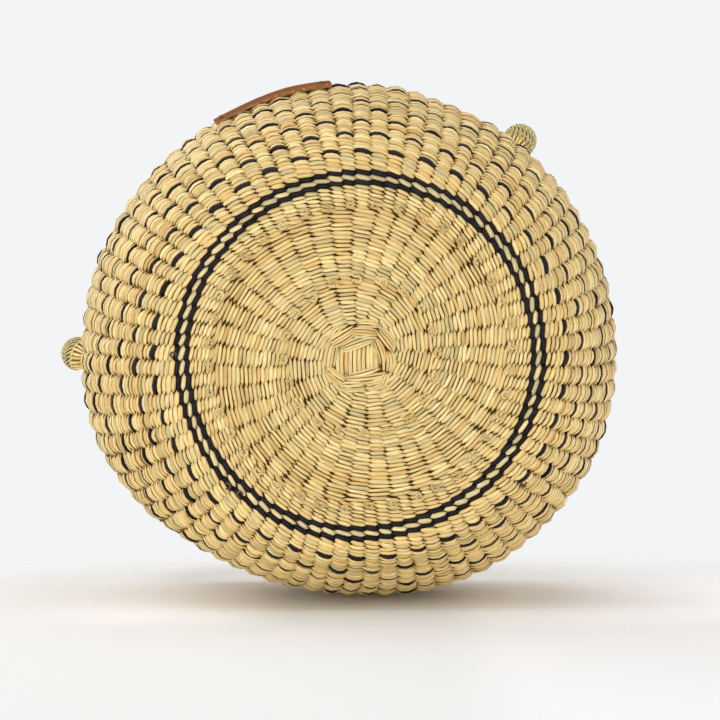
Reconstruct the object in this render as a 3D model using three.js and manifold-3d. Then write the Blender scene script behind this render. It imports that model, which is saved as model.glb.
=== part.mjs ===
// A round twined-grass market basket with two arched carry handles and a leather label.
// Millimetres, +Z up. The origin is the centre of the base, on its resting face, and -Y is the front.

import * as THREE from 'three';
import { mergeVertices } from 'three/addons/utils/BufferGeometryUtils.js';
import Module from 'manifold-3d';

const wasm = await Module();
wasm.setup();

// Weave
const ribCount = 80;
const weaveThickness = 6;
const rowPitch = 3.5;
const seatGap = 0.3;

// Base, from the centre outwards
const startKnotWidth = 31;
const ribFanWidth = 3.6;
const zone20RibsWidth = 24.8;
const zone40RibsWidth = 51.1;
const zone80RibsWidth = 16.75;
const firstZoneRadius = startKnotWidth / Math.SQRT2 + ribFanWidth;
const secondZoneRadius = firstZoneRadius + zone20RibsWidth;
const thirdZoneRadius = secondZoneRadius + zone40RibsWidth;
const innerDarkEdge = thirdZoneRadius + zone80RibsWidth;
const paleEdge = innerDarkEdge + rowPitch;
const outerDarkEdge = paleEdge + rowPitch;
const baseFlatRadius = outerDarkEdge + rowPitch;

// Wall, on its outer face
const bellyReach = 64.35;
const bellyHeight = 138;
const mouthInset = 23;
const wallTopRise = 102;
const bellyRadius = baseFlatRadius + bellyReach;
const wallTopRadius = bellyRadius - mouthInset;
const wallTopHeight = bellyHeight + wallTopRise;
const wallCurveExponent = 1.7;
const bellyOval = 4.6;
const ovalAzimuth = THREE.MathUtils.degToRad(38);
const rimWidth = 13;
const rimThickness = 10;

// Handles: a round twined grip on a core of stalks, hinged on two knuckles outside the wall
const gripRadius = 12.5;
const coreRadius = 8;
const knuckleRadius = 13.25;
const knuckleBallRadius = 9.5;
const hingeDrop = 12;
const hingeHeight = wallTopHeight - hingeDrop;
const frontStandOff = 30.7;
const backStandOff = 16.2;
const ribsAcrossHandle = 30;
const gripLegLength = 26;
const archRise = 150;
const knuckleSeatHeight = 14;
const knuckleStubStart = 4.5;
const capLip = 1;
const capGap = 0.5;
const neckRadius = 11;
const neckGap = 1;
const troughOuterRadius = 13;
const troughStart = THREE.MathUtils.degToRad(171);
const troughEnd = THREE.MathUtils.degToRad(266);

// Leather label on the front of the belly, two ribs right of the middle
const labelRibs = 6;
const labelRibOffset = 2;
const labelHeight = 50;
const labelDrop = 34;
const labelBottomHeight = bellyHeight - labelDrop;
const labelThickness = 3.5;
const labelStandOff = 0.5;
const labelTieRadius = 1;
const labelTieHeadRadius = 2.2;
const labelTieHeadThickness = 1;
const labelTieInset = 6;

// Facets
const ringSides = 48;
const profileSamples = 400;
const rimSides = 8;
const gripSides = 10;
const gripSteps = 30;
const ballSides = 12;
const tieSides = 8;

const straw = { color: 0xd9bf86, roughness: 0.75, metalness: 0 };
const darkStraw = { color: 0x221d2a, roughness: 0.6, metalness: 0 };
const paleStraw = { color: 0xcfc592, roughness: 0.75, metalness: 0 };
const goldenStalks = { color: 0xd8b063, roughness: 0.7, metalness: 0 };
const greenWrap = { color: 0xa8a070, roughness: 0.8, metalness: 0 };
const brownLeather = { color: 0x6e4630, roughness: 0.65, metalness: 0 };
const thread = { color: 0x3b2a1f, roughness: 0.8, metalness: 0 };

const basket = new THREE.Group();

/** Leaves only shared positions, so that the faces close on each other. */
function closed(geometry) {
  geometry.deleteAttribute('normal');
  geometry.deleteAttribute('uv');
  return mergeVertices(geometry);
}

function toSolid(geometry) {
  const shell = closed(geometry);
  return new wasm.Manifold(new wasm.Mesh({
    numProp: 3,
    vertProperties: new Float32Array(shell.attributes.position.array),
    triVerts: new Uint32Array(shell.index.array),
  }));
}

function toGeometry(solid) {
  const mesh = solid.getMesh();
  const geometry = new THREE.BufferGeometry();
  geometry.setAttribute('position', new THREE.BufferAttribute(mesh.vertProperties, 3));
  geometry.setIndex(new THREE.BufferAttribute(mesh.triVerts, 1));
  return geometry;
}

function addPiece(name, geometry, finish, parent = basket) {
  const mesh = new THREE.Mesh(closed(geometry), new THREE.MeshStandardMaterial(finish));
  mesh.name = name;
  parent.add(mesh);
  return mesh;
}

/** How far a hand-woven wall bulges past round, at a radius and an azimuth. */
function ovalOffset(radius, azimuth) {
  const share = Math.max(0, (radius - baseFlatRadius) / (bellyRadius - baseFlatRadius));
  return bellyOval * share * Math.cos(2 * (azimuth - ovalAzimuth));
}

/** Turns an outline of (radius, height) points, listed anticlockwise, into an oval ring or body. */
function turned(outline) {
  const geometry = closed(new THREE.LatheGeometry(outline, ringSides).rotateX(Math.PI / 2));
  const places = geometry.attributes.position;
  for (let i = 0; i < places.count; i += 1) {
    const x = places.getX(i);
    const y = places.getY(i);
    const radius = Math.hypot(x, y);
    const azimuth = Math.atan2(y, x);
    const stretched = radius + ovalOffset(radius, azimuth);
    places.setXY(i, stretched * Math.cos(azimuth), stretched * Math.sin(azimuth));
  }
  return geometry;
}

function ring(profile) {
  return turned([...profile, profile[0]]);
}

/** The outer face of the wall: it turns up on a superellipse and closes in above the belly. */
function wallRadius(height) {
  if (height <= bellyHeight) {
    const below = Math.pow(1 - height / bellyHeight, wallCurveExponent);
    const share = Math.pow(Math.max(0, 1 - below), 1 / wallCurveExponent);
    return baseFlatRadius + (bellyRadius - baseFlatRadius) * share;
  }
  const above = (height - bellyHeight) / (wallTopHeight - bellyHeight);
  return bellyRadius - (bellyRadius - wallTopRadius) * above * above;
}

/** The wall's outer face as a polyline with its running length, denser where it turns. */
const wallLine = [];
for (let i = 0; i <= profileSamples; i += 1) {
  const height = wallTopHeight * Math.pow(i / profileSamples, 2);
  const point = new THREE.Vector2(wallRadius(height), height);
  const last = wallLine[i - 1];
  wallLine.push({ point, length: last ? last.length + point.distanceTo(last.point) : 0 });
}
const wallLength = wallLine[profileSamples].length;

function lengthAtHeight(height) {
  return wallLine.find((entry) => entry.point.y >= height).length;
}

/** The wall at a running length: a point of its face, its direction upwards, and the way in. */
function wallFrame(length) {
  const after = Math.max(1, wallLine.findIndex((entry) => entry.length >= length));
  const start = wallLine[after - 1];
  const end = wallLine[after];
  const share = (length - start.length) / (end.length - start.length);
  const along = end.point.clone().sub(start.point).normalize();
  const inwards = new THREE.Vector2(-along.y, along.x);
  return { point: start.point.clone().lerp(end.point, share), along, inwards };
}

/** A point on the wall at a running length, moved inwards by a depth square to the face. */
function wallPoint(length, depth) {
  const { point, inwards } = wallFrame(length);
  return point.addScaledVector(inwards, depth);
}

/** A flat annulus of the base, from its inner to its outer edge. */
function baseRing(innerRadius, outerRadius) {
  const inner = innerRadius + seatGap / 2;
  const outer = outerRadius - seatGap / 2;
  return ring([
    new THREE.Vector2(inner, 0),
    new THREE.Vector2(outer, 0),
    new THREE.Vector2(outer, weaveThickness),
    new THREE.Vector2(inner, weaveThickness),
  ]);
}

/** A band of the wall between two running lengths. */
function wallBand(startLength, endLength, steps) {
  const from = startLength + seatGap / 2;
  const to = Math.min(endLength, wallLength) - seatGap / 2;
  const outer = [];
  const inner = [];
  for (let i = 0; i <= steps; i += 1) {
    const length = THREE.MathUtils.lerp(from, to, i / steps);
    outer.push(wallPoint(length, 0));
    inner.unshift(wallPoint(length, weaveThickness));
  }
  return ring([...outer, ...inner]);
}

function square(width) {
  const half = width / 2;
  return [
    new THREE.Vector2(-half, -half),
    new THREE.Vector2(half, -half),
    new THREE.Vector2(half, half),
    new THREE.Vector2(-half, half),
  ];
}

function polygon(radius, sides, startTurn = 0) {
  const points = [];
  for (let i = 0; i < sides; i += 1) {
    const turn = startTurn + (2 * Math.PI * i) / sides;
    points.push(new THREE.Vector2(radius * Math.cos(turn), radius * Math.sin(turn)));
  }
  return points;
}

/** The base: the square start knot, the rib zones, and the dark and pale rows round them. */
function buildBase() {
  const flat = { depth: weaveThickness, bevelEnabled: false };
  const knot = new THREE.Shape(square(startKnotWidth - seatGap));
  addPiece('start_knot', new THREE.ExtrudeGeometry(knot, flat), straw);

  const fan = new THREE.Shape(polygon(firstZoneRadius - seatGap / 2, ringSides));
  fan.holes.push(new THREE.Path(square(startKnotWidth + seatGap)));
  addPiece('rib_fan', new THREE.ExtrudeGeometry(fan, flat), straw);

  addPiece('base_zone_20_ribs', baseRing(firstZoneRadius, secondZoneRadius), straw);
  addPiece('base_zone_40_ribs', baseRing(secondZoneRadius, thirdZoneRadius), straw);

  addPiece('base_zone_80_ribs', baseRing(thirdZoneRadius, innerDarkEdge), straw);
  addPiece('inner_dark_row', baseRing(innerDarkEdge, paleEdge), darkStraw);
  addPiece('pale_row', baseRing(paleEdge, outerDarkEdge), paleStraw);
  addPiece('outer_dark_row', baseRing(outerDarkEdge, baseFlatRadius), darkStraw);
}

/** The wall in five bands, and the braided binding that closes its top edge. */
function buildWall() {
  const bands = [
    { name: 'wall_turn', topShare: 0.36, steps: 5 },
    { name: 'wall_lower', topShare: 0.7, steps: 3 },
    { name: 'wall_belly', topShare: 1.14, steps: 3 },
    { name: 'wall_upper', topShare: 1.44, steps: 2 },
  ];
  let start = 0;
  for (const band of bands) {
    const end = lengthAtHeight(bellyHeight * band.topShare);
    addPiece(band.name, wallBand(start, end, band.steps), straw);
    start = end;
  }
  addPiece('wall_top', wallBand(start, wallLength, 2), straw);

  // The binding's section is an oval that seats one of its flats on the wall's top edge
  const { point, along, inwards } = wallFrame(wallLength);
  const flatTurn = Math.PI / rimSides;
  const seatDepth = (rimThickness / 2) * Math.cos(flatTurn) + seatGap;
  const middle = point.addScaledVector(inwards, weaveThickness / 2).addScaledVector(along, seatDepth);
  const section = polygon(rimWidth / 2, rimSides, flatTurn).map((place) => middle.clone()
    .addScaledVector(inwards, -place.x)
    .addScaledVector(along, place.y * (rimThickness / rimWidth)));
  addPiece('rim_binding', ring(section), straw);
}

/** The space that the basket fills, out to a clearance off its wall, for cutting what meets it. */
function basketBody(clearance) {
  const outline = [new THREE.Vector2(0, 0)];
  const steps = 24;
  for (let i = 0; i <= steps; i += 1) {
    outline.push(wallPoint((wallLength * i) / steps, -clearance));
  }
  outline.push(new THREE.Vector2(0, wallTopHeight));
  return toSolid(turned(outline));
}

/** Where a handle's knuckle stands: a stand-off outside the wall at the hinge height. */
function footPlace(azimuth, standOff) {
  const wall = wallRadius(hingeHeight);
  const radius = wall + ovalOffset(wall, azimuth) + standOff;
  return new THREE.Vector3(radius * Math.cos(azimuth), radius * Math.sin(azimuth), hingeHeight);
}

function cylinderAlong(axis, radius, start, end, sides) {
  const geometry = new THREE.CylinderGeometry(radius, radius, end - start, sides);
  geometry.translate(0, (start + end) / 2, 0);
  if (axis === 'x') geometry.rotateZ(-Math.PI / 2);
  if (axis === 'z') geometry.rotateX(Math.PI / 2);
  return geometry;
}

/** The ball that the handle turns on, under a cap on its outer side, with a stub for the grip. */
function knuckleSolid(side) {
  const ball = toSolid(new THREE.SphereGeometry(knuckleBallRadius, ballSides, ballSides / 2));
  const cover = toSolid(new THREE.SphereGeometry(knuckleRadius, ballSides, ballSides / 2));
  const reach = 2 * knuckleRadius;
  const half = new THREE.BoxGeometry(reach, reach, reach);
  half.translate(side * (knuckleRadius - capLip), 0, 0);
  const stub = toSolid(cylinderAlong('z', gripRadius, knuckleStubStart, knuckleSeatHeight, gripSides));
  return ball.add(cover.intersect(toSolid(half))).add(stub);
}

/** The stalks that come out of the wall and carry the knuckle: a neck and a trough under the ball. */
function rootSolid(side) {
  const troughInnerRadius = knuckleBallRadius + seatGap;
  const outline = [];
  const steps = 5;
  for (let i = 0; i <= steps; i += 1) {
    const turn = THREE.MathUtils.lerp(troughStart, troughEnd, i / steps);
    outline.push(new THREE.Vector2(-Math.sin(turn), Math.cos(turn)).multiplyScalar(troughOuterRadius));
  }
  for (let i = steps; i >= 0; i -= 1) {
    const turn = THREE.MathUtils.lerp(troughStart, troughEnd, i / steps);
    outline.push(new THREE.Vector2(-Math.sin(turn), Math.cos(turn)).multiplyScalar(troughInnerRadius));
  }
  const neckStart = gripRadius + neckGap;
  const troughEndLength = capLip + capGap;
  const trough = new THREE.ExtrudeGeometry(new THREE.Shape(outline), {
    depth: neckStart - troughEndLength + neckGap,
    bevelEnabled: false,
  });
  // The section's x and y become the frame's y and z, and its depth runs along x
  trough.applyMatrix4(new THREE.Matrix4().makeBasis(
    new THREE.Vector3(0, 1, 0), new THREE.Vector3(0, 0, 1), new THREE.Vector3(1, 0, 0),
  ));
  trough.translate(side > 0 ? -(neckStart + neckGap) : troughEndLength, 0, 0);
  const neckLength = 2 * (frontStandOff + gripRadius);
  const neck = side > 0
    ? cylinderAlong('x', neckRadius, -neckStart - neckLength, -neckStart, gripSides)
    : cylinderAlong('x', neckRadius, neckStart, neckStart + neckLength, gripSides);
  return toSolid(trough).add(toSolid(neck));
}

/** The half-ellipse of a grip's arch, from its right leg over to its left one. */
class ArchCurve extends THREE.Curve {
  constructor(halfSpan, foot, rise) {
    super();
    this.halfSpan = halfSpan;
    this.foot = foot;
    this.rise = rise;
  }

  getPoint(t, target = new THREE.Vector3()) {
    const turn = Math.PI * t;
    return target.set(this.halfSpan * Math.cos(turn), 0, this.foot + this.rise * Math.sin(turn));
  }
}

/** A grip's centre line: a straight leg up from the seat, the arch, and a straight leg down. */
function gripPath(halfSpan) {
  const seat = knuckleSeatHeight + seatGap;
  const foot = seat + gripLegLength;
  const path = new THREE.CurvePath();
  path.add(new THREE.LineCurve3(
    new THREE.Vector3(halfSpan, 0, seat), new THREE.Vector3(halfSpan, 0, foot),
  ));
  path.add(new ArchCurve(halfSpan, foot, archRise));
  path.add(new THREE.LineCurve3(
    new THREE.Vector3(-halfSpan, 0, foot), new THREE.Vector3(-halfSpan, 0, seat),
  ));
  return path;
}

/** One carry handle with its roots, between two feet given by azimuth. */
function buildHandle(name, middleAzimuth, standOff, body) {
  const halfTurn = (Math.PI * ribsAcrossHandle) / ribCount;
  const right = footPlace(middleAzimuth + halfTurn, standOff);
  const left = footPlace(middleAzimuth - halfTurn, standOff);
  const span = right.clone().sub(left);
  const halfSpan = span.length() / 2;

  const handle = new THREE.Group();
  handle.position.copy(right).add(left).multiplyScalar(0.5);
  handle.rotation.z = Math.atan2(span.y, span.x);
  handle.updateMatrixWorld();
  basket.add(handle);

  const sleeve = new THREE.Shape(polygon(gripRadius, gripSides));
  sleeve.holes.push(new THREE.Path(polygon(coreRadius + seatGap, gripSides)));
  const sweep = { steps: gripSteps, bevelEnabled: false, extrudePath: gripPath(halfSpan) };
  addPiece(`${name}_grip_wrap`, new THREE.ExtrudeGeometry(sleeve, sweep), greenWrap, handle);
  const stalks = new THREE.Shape(polygon(coreRadius, gripSides));
  addPiece(`${name}_grip_core`, new THREE.ExtrudeGeometry(stalks, sweep), goldenStalks, handle);

  for (const [sideName, side] of [['right', 1], ['left', -1]]) {
    const end = `${name}_${sideName}`;
    const knuckle = addPiece(`${end}_knuckle`, toGeometry(knuckleSolid(side)), greenWrap, handle);
    knuckle.position.x = side * halfSpan;
    const root = toGeometry(rootSolid(side)).translate(side * halfSpan, 0, 0);
    root.applyMatrix4(handle.matrixWorld);
    addPiece(`${end}_root`, toGeometry(toSolid(root).subtract(body)), goldenStalks);
  }
}

/** A plate that follows the wall between two depths outside it, as a closed grid of faces. */
function wallPlate(startAzimuth, endAzimuth, bottom, top, innerDepth, outerDepth) {
  const columns = 10;
  const rows = 3;
  const places = [];
  const faces = [];
  for (const depth of [outerDepth, innerDepth]) {
    for (let row = 0; row <= rows; row += 1) {
      const height = THREE.MathUtils.lerp(bottom, top, row / rows);
      for (let column = 0; column <= columns; column += 1) {
        const azimuth = THREE.MathUtils.lerp(startAzimuth, endAzimuth, column / columns);
        const radius = wallRadius(height) + ovalOffset(wallRadius(height), azimuth) + depth;
        places.push(radius * Math.cos(azimuth), radius * Math.sin(azimuth), height);
      }
    }
  }
  const layer = (rows + 1) * (columns + 1);
  const at = (side, row, column) => side * layer + row * (columns + 1) + column;
  const quad = (a, b, c, d) => faces.push(a, b, c, a, c, d);
  for (let row = 0; row < rows; row += 1) {
    for (let column = 0; column < columns; column += 1) {
      quad(at(0, row, column), at(0, row, column + 1), at(0, row + 1, column + 1), at(0, row + 1, column));
      quad(at(1, row, column), at(1, row + 1, column), at(1, row + 1, column + 1), at(1, row, column + 1));
    }
  }
  for (let column = 0; column < columns; column += 1) {
    quad(at(1, 0, column), at(1, 0, column + 1), at(0, 0, column + 1), at(0, 0, column));
    quad(at(0, rows, column), at(0, rows, column + 1), at(1, rows, column + 1), at(1, rows, column));
  }
  for (let row = 0; row < rows; row += 1) {
    quad(at(1, row, 0), at(0, row, 0), at(0, row + 1, 0), at(1, row + 1, 0));
    quad(at(0, row, columns), at(1, row, columns), at(1, row + 1, columns), at(0, row + 1, columns));
  }
  const geometry = new THREE.BufferGeometry();
  geometry.setAttribute('position', new THREE.Float32BufferAttribute(places, 3));
  geometry.setIndex(faces);
  return geometry;
}

/** The leather label and the four thread ties that hold its corners to the weave. */
function buildLabel() {
  const ribPitch = (2 * Math.PI) / ribCount;
  const middle = -Math.PI / 2 + labelRibOffset * ribPitch;
  const halfTurn = (labelRibs * ribPitch) / 2;
  const top = labelBottomHeight + labelHeight;
  const outerFace = labelStandOff + labelThickness;
  let label = toSolid(wallPlate(
    middle - halfTurn, middle + halfTurn, labelBottomHeight, top, labelStandOff, outerFace,
  ));

  const inset = labelTieInset / bellyRadius;
  const levels = [['lower', labelBottomHeight + labelTieInset], ['upper', top - labelTieInset]];
  const ends = [['left', middle - halfTurn + inset], ['right', middle + halfTurn - inset]];
  for (const [levelName, height] of levels) {
    for (const [endName, azimuth] of ends) {
      const wall = wallRadius(height) + ovalOffset(wallRadius(height), azimuth);
      const outside = wall + outerFace + seatGap;
      const turn = new THREE.Matrix4().makeRotationZ(azimuth).setPosition(0, 0, height);
      const place = (geometry) => toSolid(geometry.applyMatrix4(turn));
      const inside = wall + seatGap;
      const hole = cylinderAlong('x', labelTieRadius + seatGap, wall - labelThickness, outside, tieSides);
      const shank = cylinderAlong('x', labelTieRadius, inside, outside + seatGap, tieSides);
      const head = cylinderAlong(
        'x', labelTieHeadRadius, outside, outside + labelTieHeadThickness, tieSides,
      );
      label = label.subtract(place(hole));
      const tie = place(shank).add(place(head));
      addPiece(`label_tie_${levelName}_${endName}`, toGeometry(tie), thread);
    }
  }
  addPiece('leather_label', toGeometry(label), brownLeather);
}

buildBase();
buildWall();
const wallCutter = basketBody(seatGap);
buildHandle('front_handle', -Math.PI / 2, frontStandOff, wallCutter);
buildHandle('back_handle', Math.PI / 2, backStandOff, wallCutter);
buildLabel();

export default basket;
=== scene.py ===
"""A round market basket twined from dried grass, with two swinging carry handles and a leather label.

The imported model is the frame: every piece lies where its node lies, in metres, +Z up and -Y to the front.
"""

import logging
import math
from dataclasses import asdict, dataclass, field, replace
from enum import Enum
from functools import cached_property, reduce
from typing import Iterable, Iterator, Sequence

import bpy
import numpy as np
from mathutils import Matrix, Vector


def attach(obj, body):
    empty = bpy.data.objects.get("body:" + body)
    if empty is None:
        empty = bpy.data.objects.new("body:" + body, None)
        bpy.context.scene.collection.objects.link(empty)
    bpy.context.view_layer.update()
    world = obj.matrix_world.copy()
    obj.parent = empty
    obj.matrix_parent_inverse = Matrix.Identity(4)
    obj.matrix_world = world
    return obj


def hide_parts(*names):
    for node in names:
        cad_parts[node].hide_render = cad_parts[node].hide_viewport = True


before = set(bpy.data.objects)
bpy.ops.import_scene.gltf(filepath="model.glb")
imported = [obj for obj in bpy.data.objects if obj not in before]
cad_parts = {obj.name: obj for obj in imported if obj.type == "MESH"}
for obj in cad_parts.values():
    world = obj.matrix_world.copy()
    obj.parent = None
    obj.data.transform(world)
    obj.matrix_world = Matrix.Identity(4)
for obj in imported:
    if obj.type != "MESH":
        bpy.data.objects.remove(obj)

LOG = logging.getLogger("basket")
MM = 0.001
TAU = 2 * math.pi
DEGREE = math.pi / 180
# The direction on the basket that is the right of the start knot and of the picture.
KNOT_AZIMUTH = 26.15 * DEGREE
KNOT_RIGHT = np.array([math.cos(KNOT_AZIMUTH), math.sin(KNOT_AZIMUTH), 0.0])
KNOT_UP = np.array([math.sin(KNOT_AZIMUTH), -math.cos(KNOT_AZIMUTH), 0.0])
UP = np.array([0.0, 0.0, 1.0])
# The span that a strand's colour is held in.
DARKEST, LIGHTEST = 0.004, 0.95

Colour = tuple[float, float, float]


class Body(str, Enum):
    """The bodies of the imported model."""

    BASKET = "basket"
    FRONT_HANDLE = "front_handle"
    BACK_HANDLE = "back_handle"


class Slot(str, Enum):
    """The record's material slots."""

    STRAW = "straw"
    DARK_STRAW = "dark_straw"
    PALE_STRAW = "pale_straw"
    GOLDEN_STALKS = "golden_stalks"
    HANDLE_WRAP = "handle_wrap"
    LABEL_LEATHER = "label_leather"
    THREAD = "thread"


class Face(Enum):
    """Which face of the weave a row of stitches lies on."""

    OUTER = 1
    INNER = -1

    @property
    def side(self) -> str:
        """The word for it in a piece's name."""
        return "outside" if self is Face.OUTER else "inside"


def linear(red: int, green: int, blue: int) -> Colour:
    """Turns a colour as it looks on a screen into the values that a shader works with.

    Args:
        red: red, 0 to 255.
        green: green, 0 to 255.
        blue: blue, 0 to 255.

    Returns:
        The three linear values, 0 to 1.
    """
    def one(value: int) -> float:
        """Undoes the screen's curve for one channel."""
        share = value / 255
        return share / 12.92 if share <= 0.04045 else ((share + 0.055) / 1.055) ** 2.4
    return one(red), one(green), one(blue)


def wave_noise(turns: np.ndarray, seed: int, orders: int = 7) -> np.ndarray:
    """A smooth, repeatable wander between about -1 and 1 that closes on itself after one turn.

    Args:
        turns: where to read it, as angles.
        seed: which wander.
        orders: how many waves are summed.

    Returns:
        The wander at each place.
    """
    draw = np.random.default_rng(seed)
    total = np.zeros_like(turns, dtype=float)
    for order in range(1, orders + 1):
        total += draw.normal() / math.sqrt(order) * np.cos(order * turns + draw.uniform(0, TAU))
    return total / (0.8 * math.sqrt(orders))


@dataclass(frozen=True)
class Palette:
    """The tones that a lot of strands is sorted from, with how common each is."""

    tones: tuple[tuple[Colour, float], ...]
    spread: float = 0.05

    def dimmed(self, share: float) -> "Palette":
        """The same tones at a share of their brightness."""
        tones = tuple((tuple(share * value for value in tone), common) for tone, common in self.tones)
        return Palette(tones, self.spread)

    @staticmethod
    def varied(draw: np.random.Generator, colours: np.ndarray, spread: float) -> np.ndarray:
        """The colours, each a little lighter or darker at random."""
        return np.clip(colours * (1 + spread * draw.normal(size=(len(colours), 1))), DARKEST, LIGHTEST)

    def pick(self, draw: np.random.Generator, count: int) -> np.ndarray:
        """Picks tones at random.

        Args:
            draw: the source of chance.
            count: how many.

        Returns:
            One row of red, green and blue for each strand.
        """
        shares = np.array([share for _, share in self.tones])
        colours = np.array([colour for colour, _ in self.tones])
        chosen = draw.choice(len(shares), count, p=shares / shares.sum())
        return self.varied(draw, colours[chosen], self.spread)

    def runs(self, draw: np.random.Generator, count: int, mean_run: int) -> np.ndarray:
        """Tones along one strand that is spliced now and then.

        Args:
            draw: the source of chance.
            count: how many stitches the strand makes.
            mean_run: how many stitches one splice lasts.

        Returns:
            One row of red, green and blue for each stitch.
        """
        made = np.empty((count, 3))
        start = 0
        while start < count:
            length = int(draw.integers(max(1, mean_run // 2), mean_run * 3 // 2 + 1))
            made[start:start + length] = self.pick(draw, 1)
            start += length
        return self.varied(draw, made, 0.6 * self.spread)


STRAW_TONES = Palette((
    (linear(239, 214, 150), 0.27), (linear(234, 205, 136), 0.28), (linear(227, 196, 128), 0.2),
    (linear(216, 197, 137), 0.1), (linear(203, 184, 126), 0.04), (linear(224, 186, 113), 0.07),
    (linear(226, 196, 134), 0.04),
), spread=0.06)
PALE_TONES = Palette((
    (linear(214, 198, 148), 0.5), (linear(224, 204, 148), 0.3), (linear(202, 186, 138), 0.2),
))
DYED_TONES = Palette((
    (linear(26, 21, 27), 0.5), (linear(20, 17, 23), 0.3), (linear(36, 28, 33), 0.2),
), spread=0.12)
GREEN_TONES = Palette((
    (linear(214, 200, 142), 0.4), (linear(202, 190, 132), 0.3), (linear(226, 212, 156), 0.2),
    (linear(186, 174, 118), 0.1),
))
GOLDEN_TONES = Palette((
    (linear(238, 206, 140), 0.4), (linear(230, 194, 122), 0.35), (linear(242, 218, 162), 0.25),
))
# Dark brown for the stalks and cores inside the weave: partly their straw, partly painted shade for where
# they show between stitches.
CORE_SHADE_TONES = Palette(((linear(92, 64, 30), 0.6), (linear(78, 54, 26), 0.4)))
THREAD_TONES = Palette(((linear(112, 72, 42), 1.0),))


class NodeTree:
    """A node tree being built, with short calls for its nodes."""

    def __init__(self, tree: bpy.types.NodeTree) -> None:
        """Starts on a tree that exists."""
        self.tree = tree

    def feed(self, socket: bpy.types.NodeSocket, value: object) -> None:
        """Links a socket, or sets it where the value is plain.

        Args:
            socket: the socket.
            value: another socket, or a number, colour, vector or name.
        """
        if isinstance(value, bpy.types.NodeSocket):
            self.tree.links.new(value, socket)
        else:
            socket.default_value = value

    def node(self, kind: str, values: dict[str | int, object] | None = None, **settings: object
             ) -> bpy.types.Node:
        """Adds a node, sets its options, and links or sets the sockets that are named.

        Args:
            kind: the node's kind.
            values: what goes into its sockets.
            settings: its options.

        Returns:
            The node.
        """
        made = self.tree.nodes.new(kind)
        for name, value in settings.items():
            setattr(made, name, value)
        for name, value in (values or {}).items():
            self.feed(made.inputs[name], value)
        return made

    def fed(self, kind: str, *values: object, **settings: object) -> bpy.types.NodeSocket:
        """Adds a node whose first sockets take the values in turn, and gives its first output."""
        return self.node(kind, dict(enumerate(values)), **settings).outputs[0]

    def maths(self, operation: str, *values: object) -> bpy.types.NodeSocket:
        """Adds a Math node on numbers and sockets."""
        return self.fed("ShaderNodeMath", *values, operation=operation)

    def product(self, *values: object) -> bpy.types.NodeSocket:
        """Multiplies numbers and sockets, from the first on."""
        return reduce(lambda made, value: self.maths("MULTIPLY", made, value), values)

    def vector(self, operation: str, *values: object) -> bpy.types.NodeSocket:
        """Adds a Vector Math node on vectors and sockets."""
        return self.fed("ShaderNodeVectorMath", *values, operation=operation)

    def combine(self, x: object, y: object, z: object) -> bpy.types.NodeSocket:
        """Joins three values to a vector."""
        return self.fed("ShaderNodeCombineXYZ", x, y, z)

    def split(self, value: bpy.types.NodeSocket) -> tuple[bpy.types.NodeSocket, ...]:
        """The three values of a vector."""
        return tuple(self.node("ShaderNodeSeparateXYZ", {0: value}).outputs)


class ShaderTree(NodeTree):
    """A material's node tree being built."""

    def __init__(self, name: str) -> None:
        """Starts a material that holds only its surface shader and its output.

        Args:
            name: the material's name.
        """
        self.material = bpy.data.materials.new(name)
        self.material.use_nodes = True
        super().__init__(self.material.node_tree)
        self.surface = self.tree.nodes["Principled BSDF"]

    def attribute(self, name: str) -> bpy.types.NodeOutputs:
        """Reads one of the piece's own attributes."""
        return self.node("ShaderNodeAttribute", attribute_name=name).outputs

    def ramp(self, value: bpy.types.NodeSocket, low: float, high: float, at_low: float, at_high: float
             ) -> bpy.types.NodeSocket:
        """Maps a value smoothly from one span onto another, and holds it at both ends."""
        return self.fed("ShaderNodeMapRange", value, low, high, at_low, at_high,
                        interpolation_type="SMOOTHSTEP")

    def noise(self, place: bpy.types.NodeSocket, scale: float, detail: float = 3.0, rough: float = 0.55
              ) -> bpy.types.NodeSocket:
        """Adds a noise pattern and gives its value."""
        return self.node("ShaderNodeTexNoise", {
            "Vector": place, "Scale": scale, "Detail": detail, "Roughness": rough,
        }).outputs[0]

    def mix(self, share: object, first: object, second: object, blend: str = "MIX") -> bpy.types.NodeSocket:
        """Mixes two colours."""
        first, second = ((*value, 1.0) if isinstance(value, tuple) else value for value in (first, second))
        return self.node("ShaderNodeMix", {0: share, 6: first, 7: second}, data_type="RGBA",
                         blend_type=blend).outputs[2]

    def bump(self, height: bpy.types.NodeSocket, strength: float, distance: float) -> None:
        """Raises the surface by a pattern."""
        self.set(Normal=self.node("ShaderNodeBump", {
            "Strength": strength, "Distance": distance, "Height": height,
        }).outputs[0])

    def set(self, **values: object) -> None:
        """Feeds the surface shader's sockets, whose names are given with _ for a space."""
        for name, value in values.items():
            self.feed(self.surface.inputs[name.replace("_", " ")], value)


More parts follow.
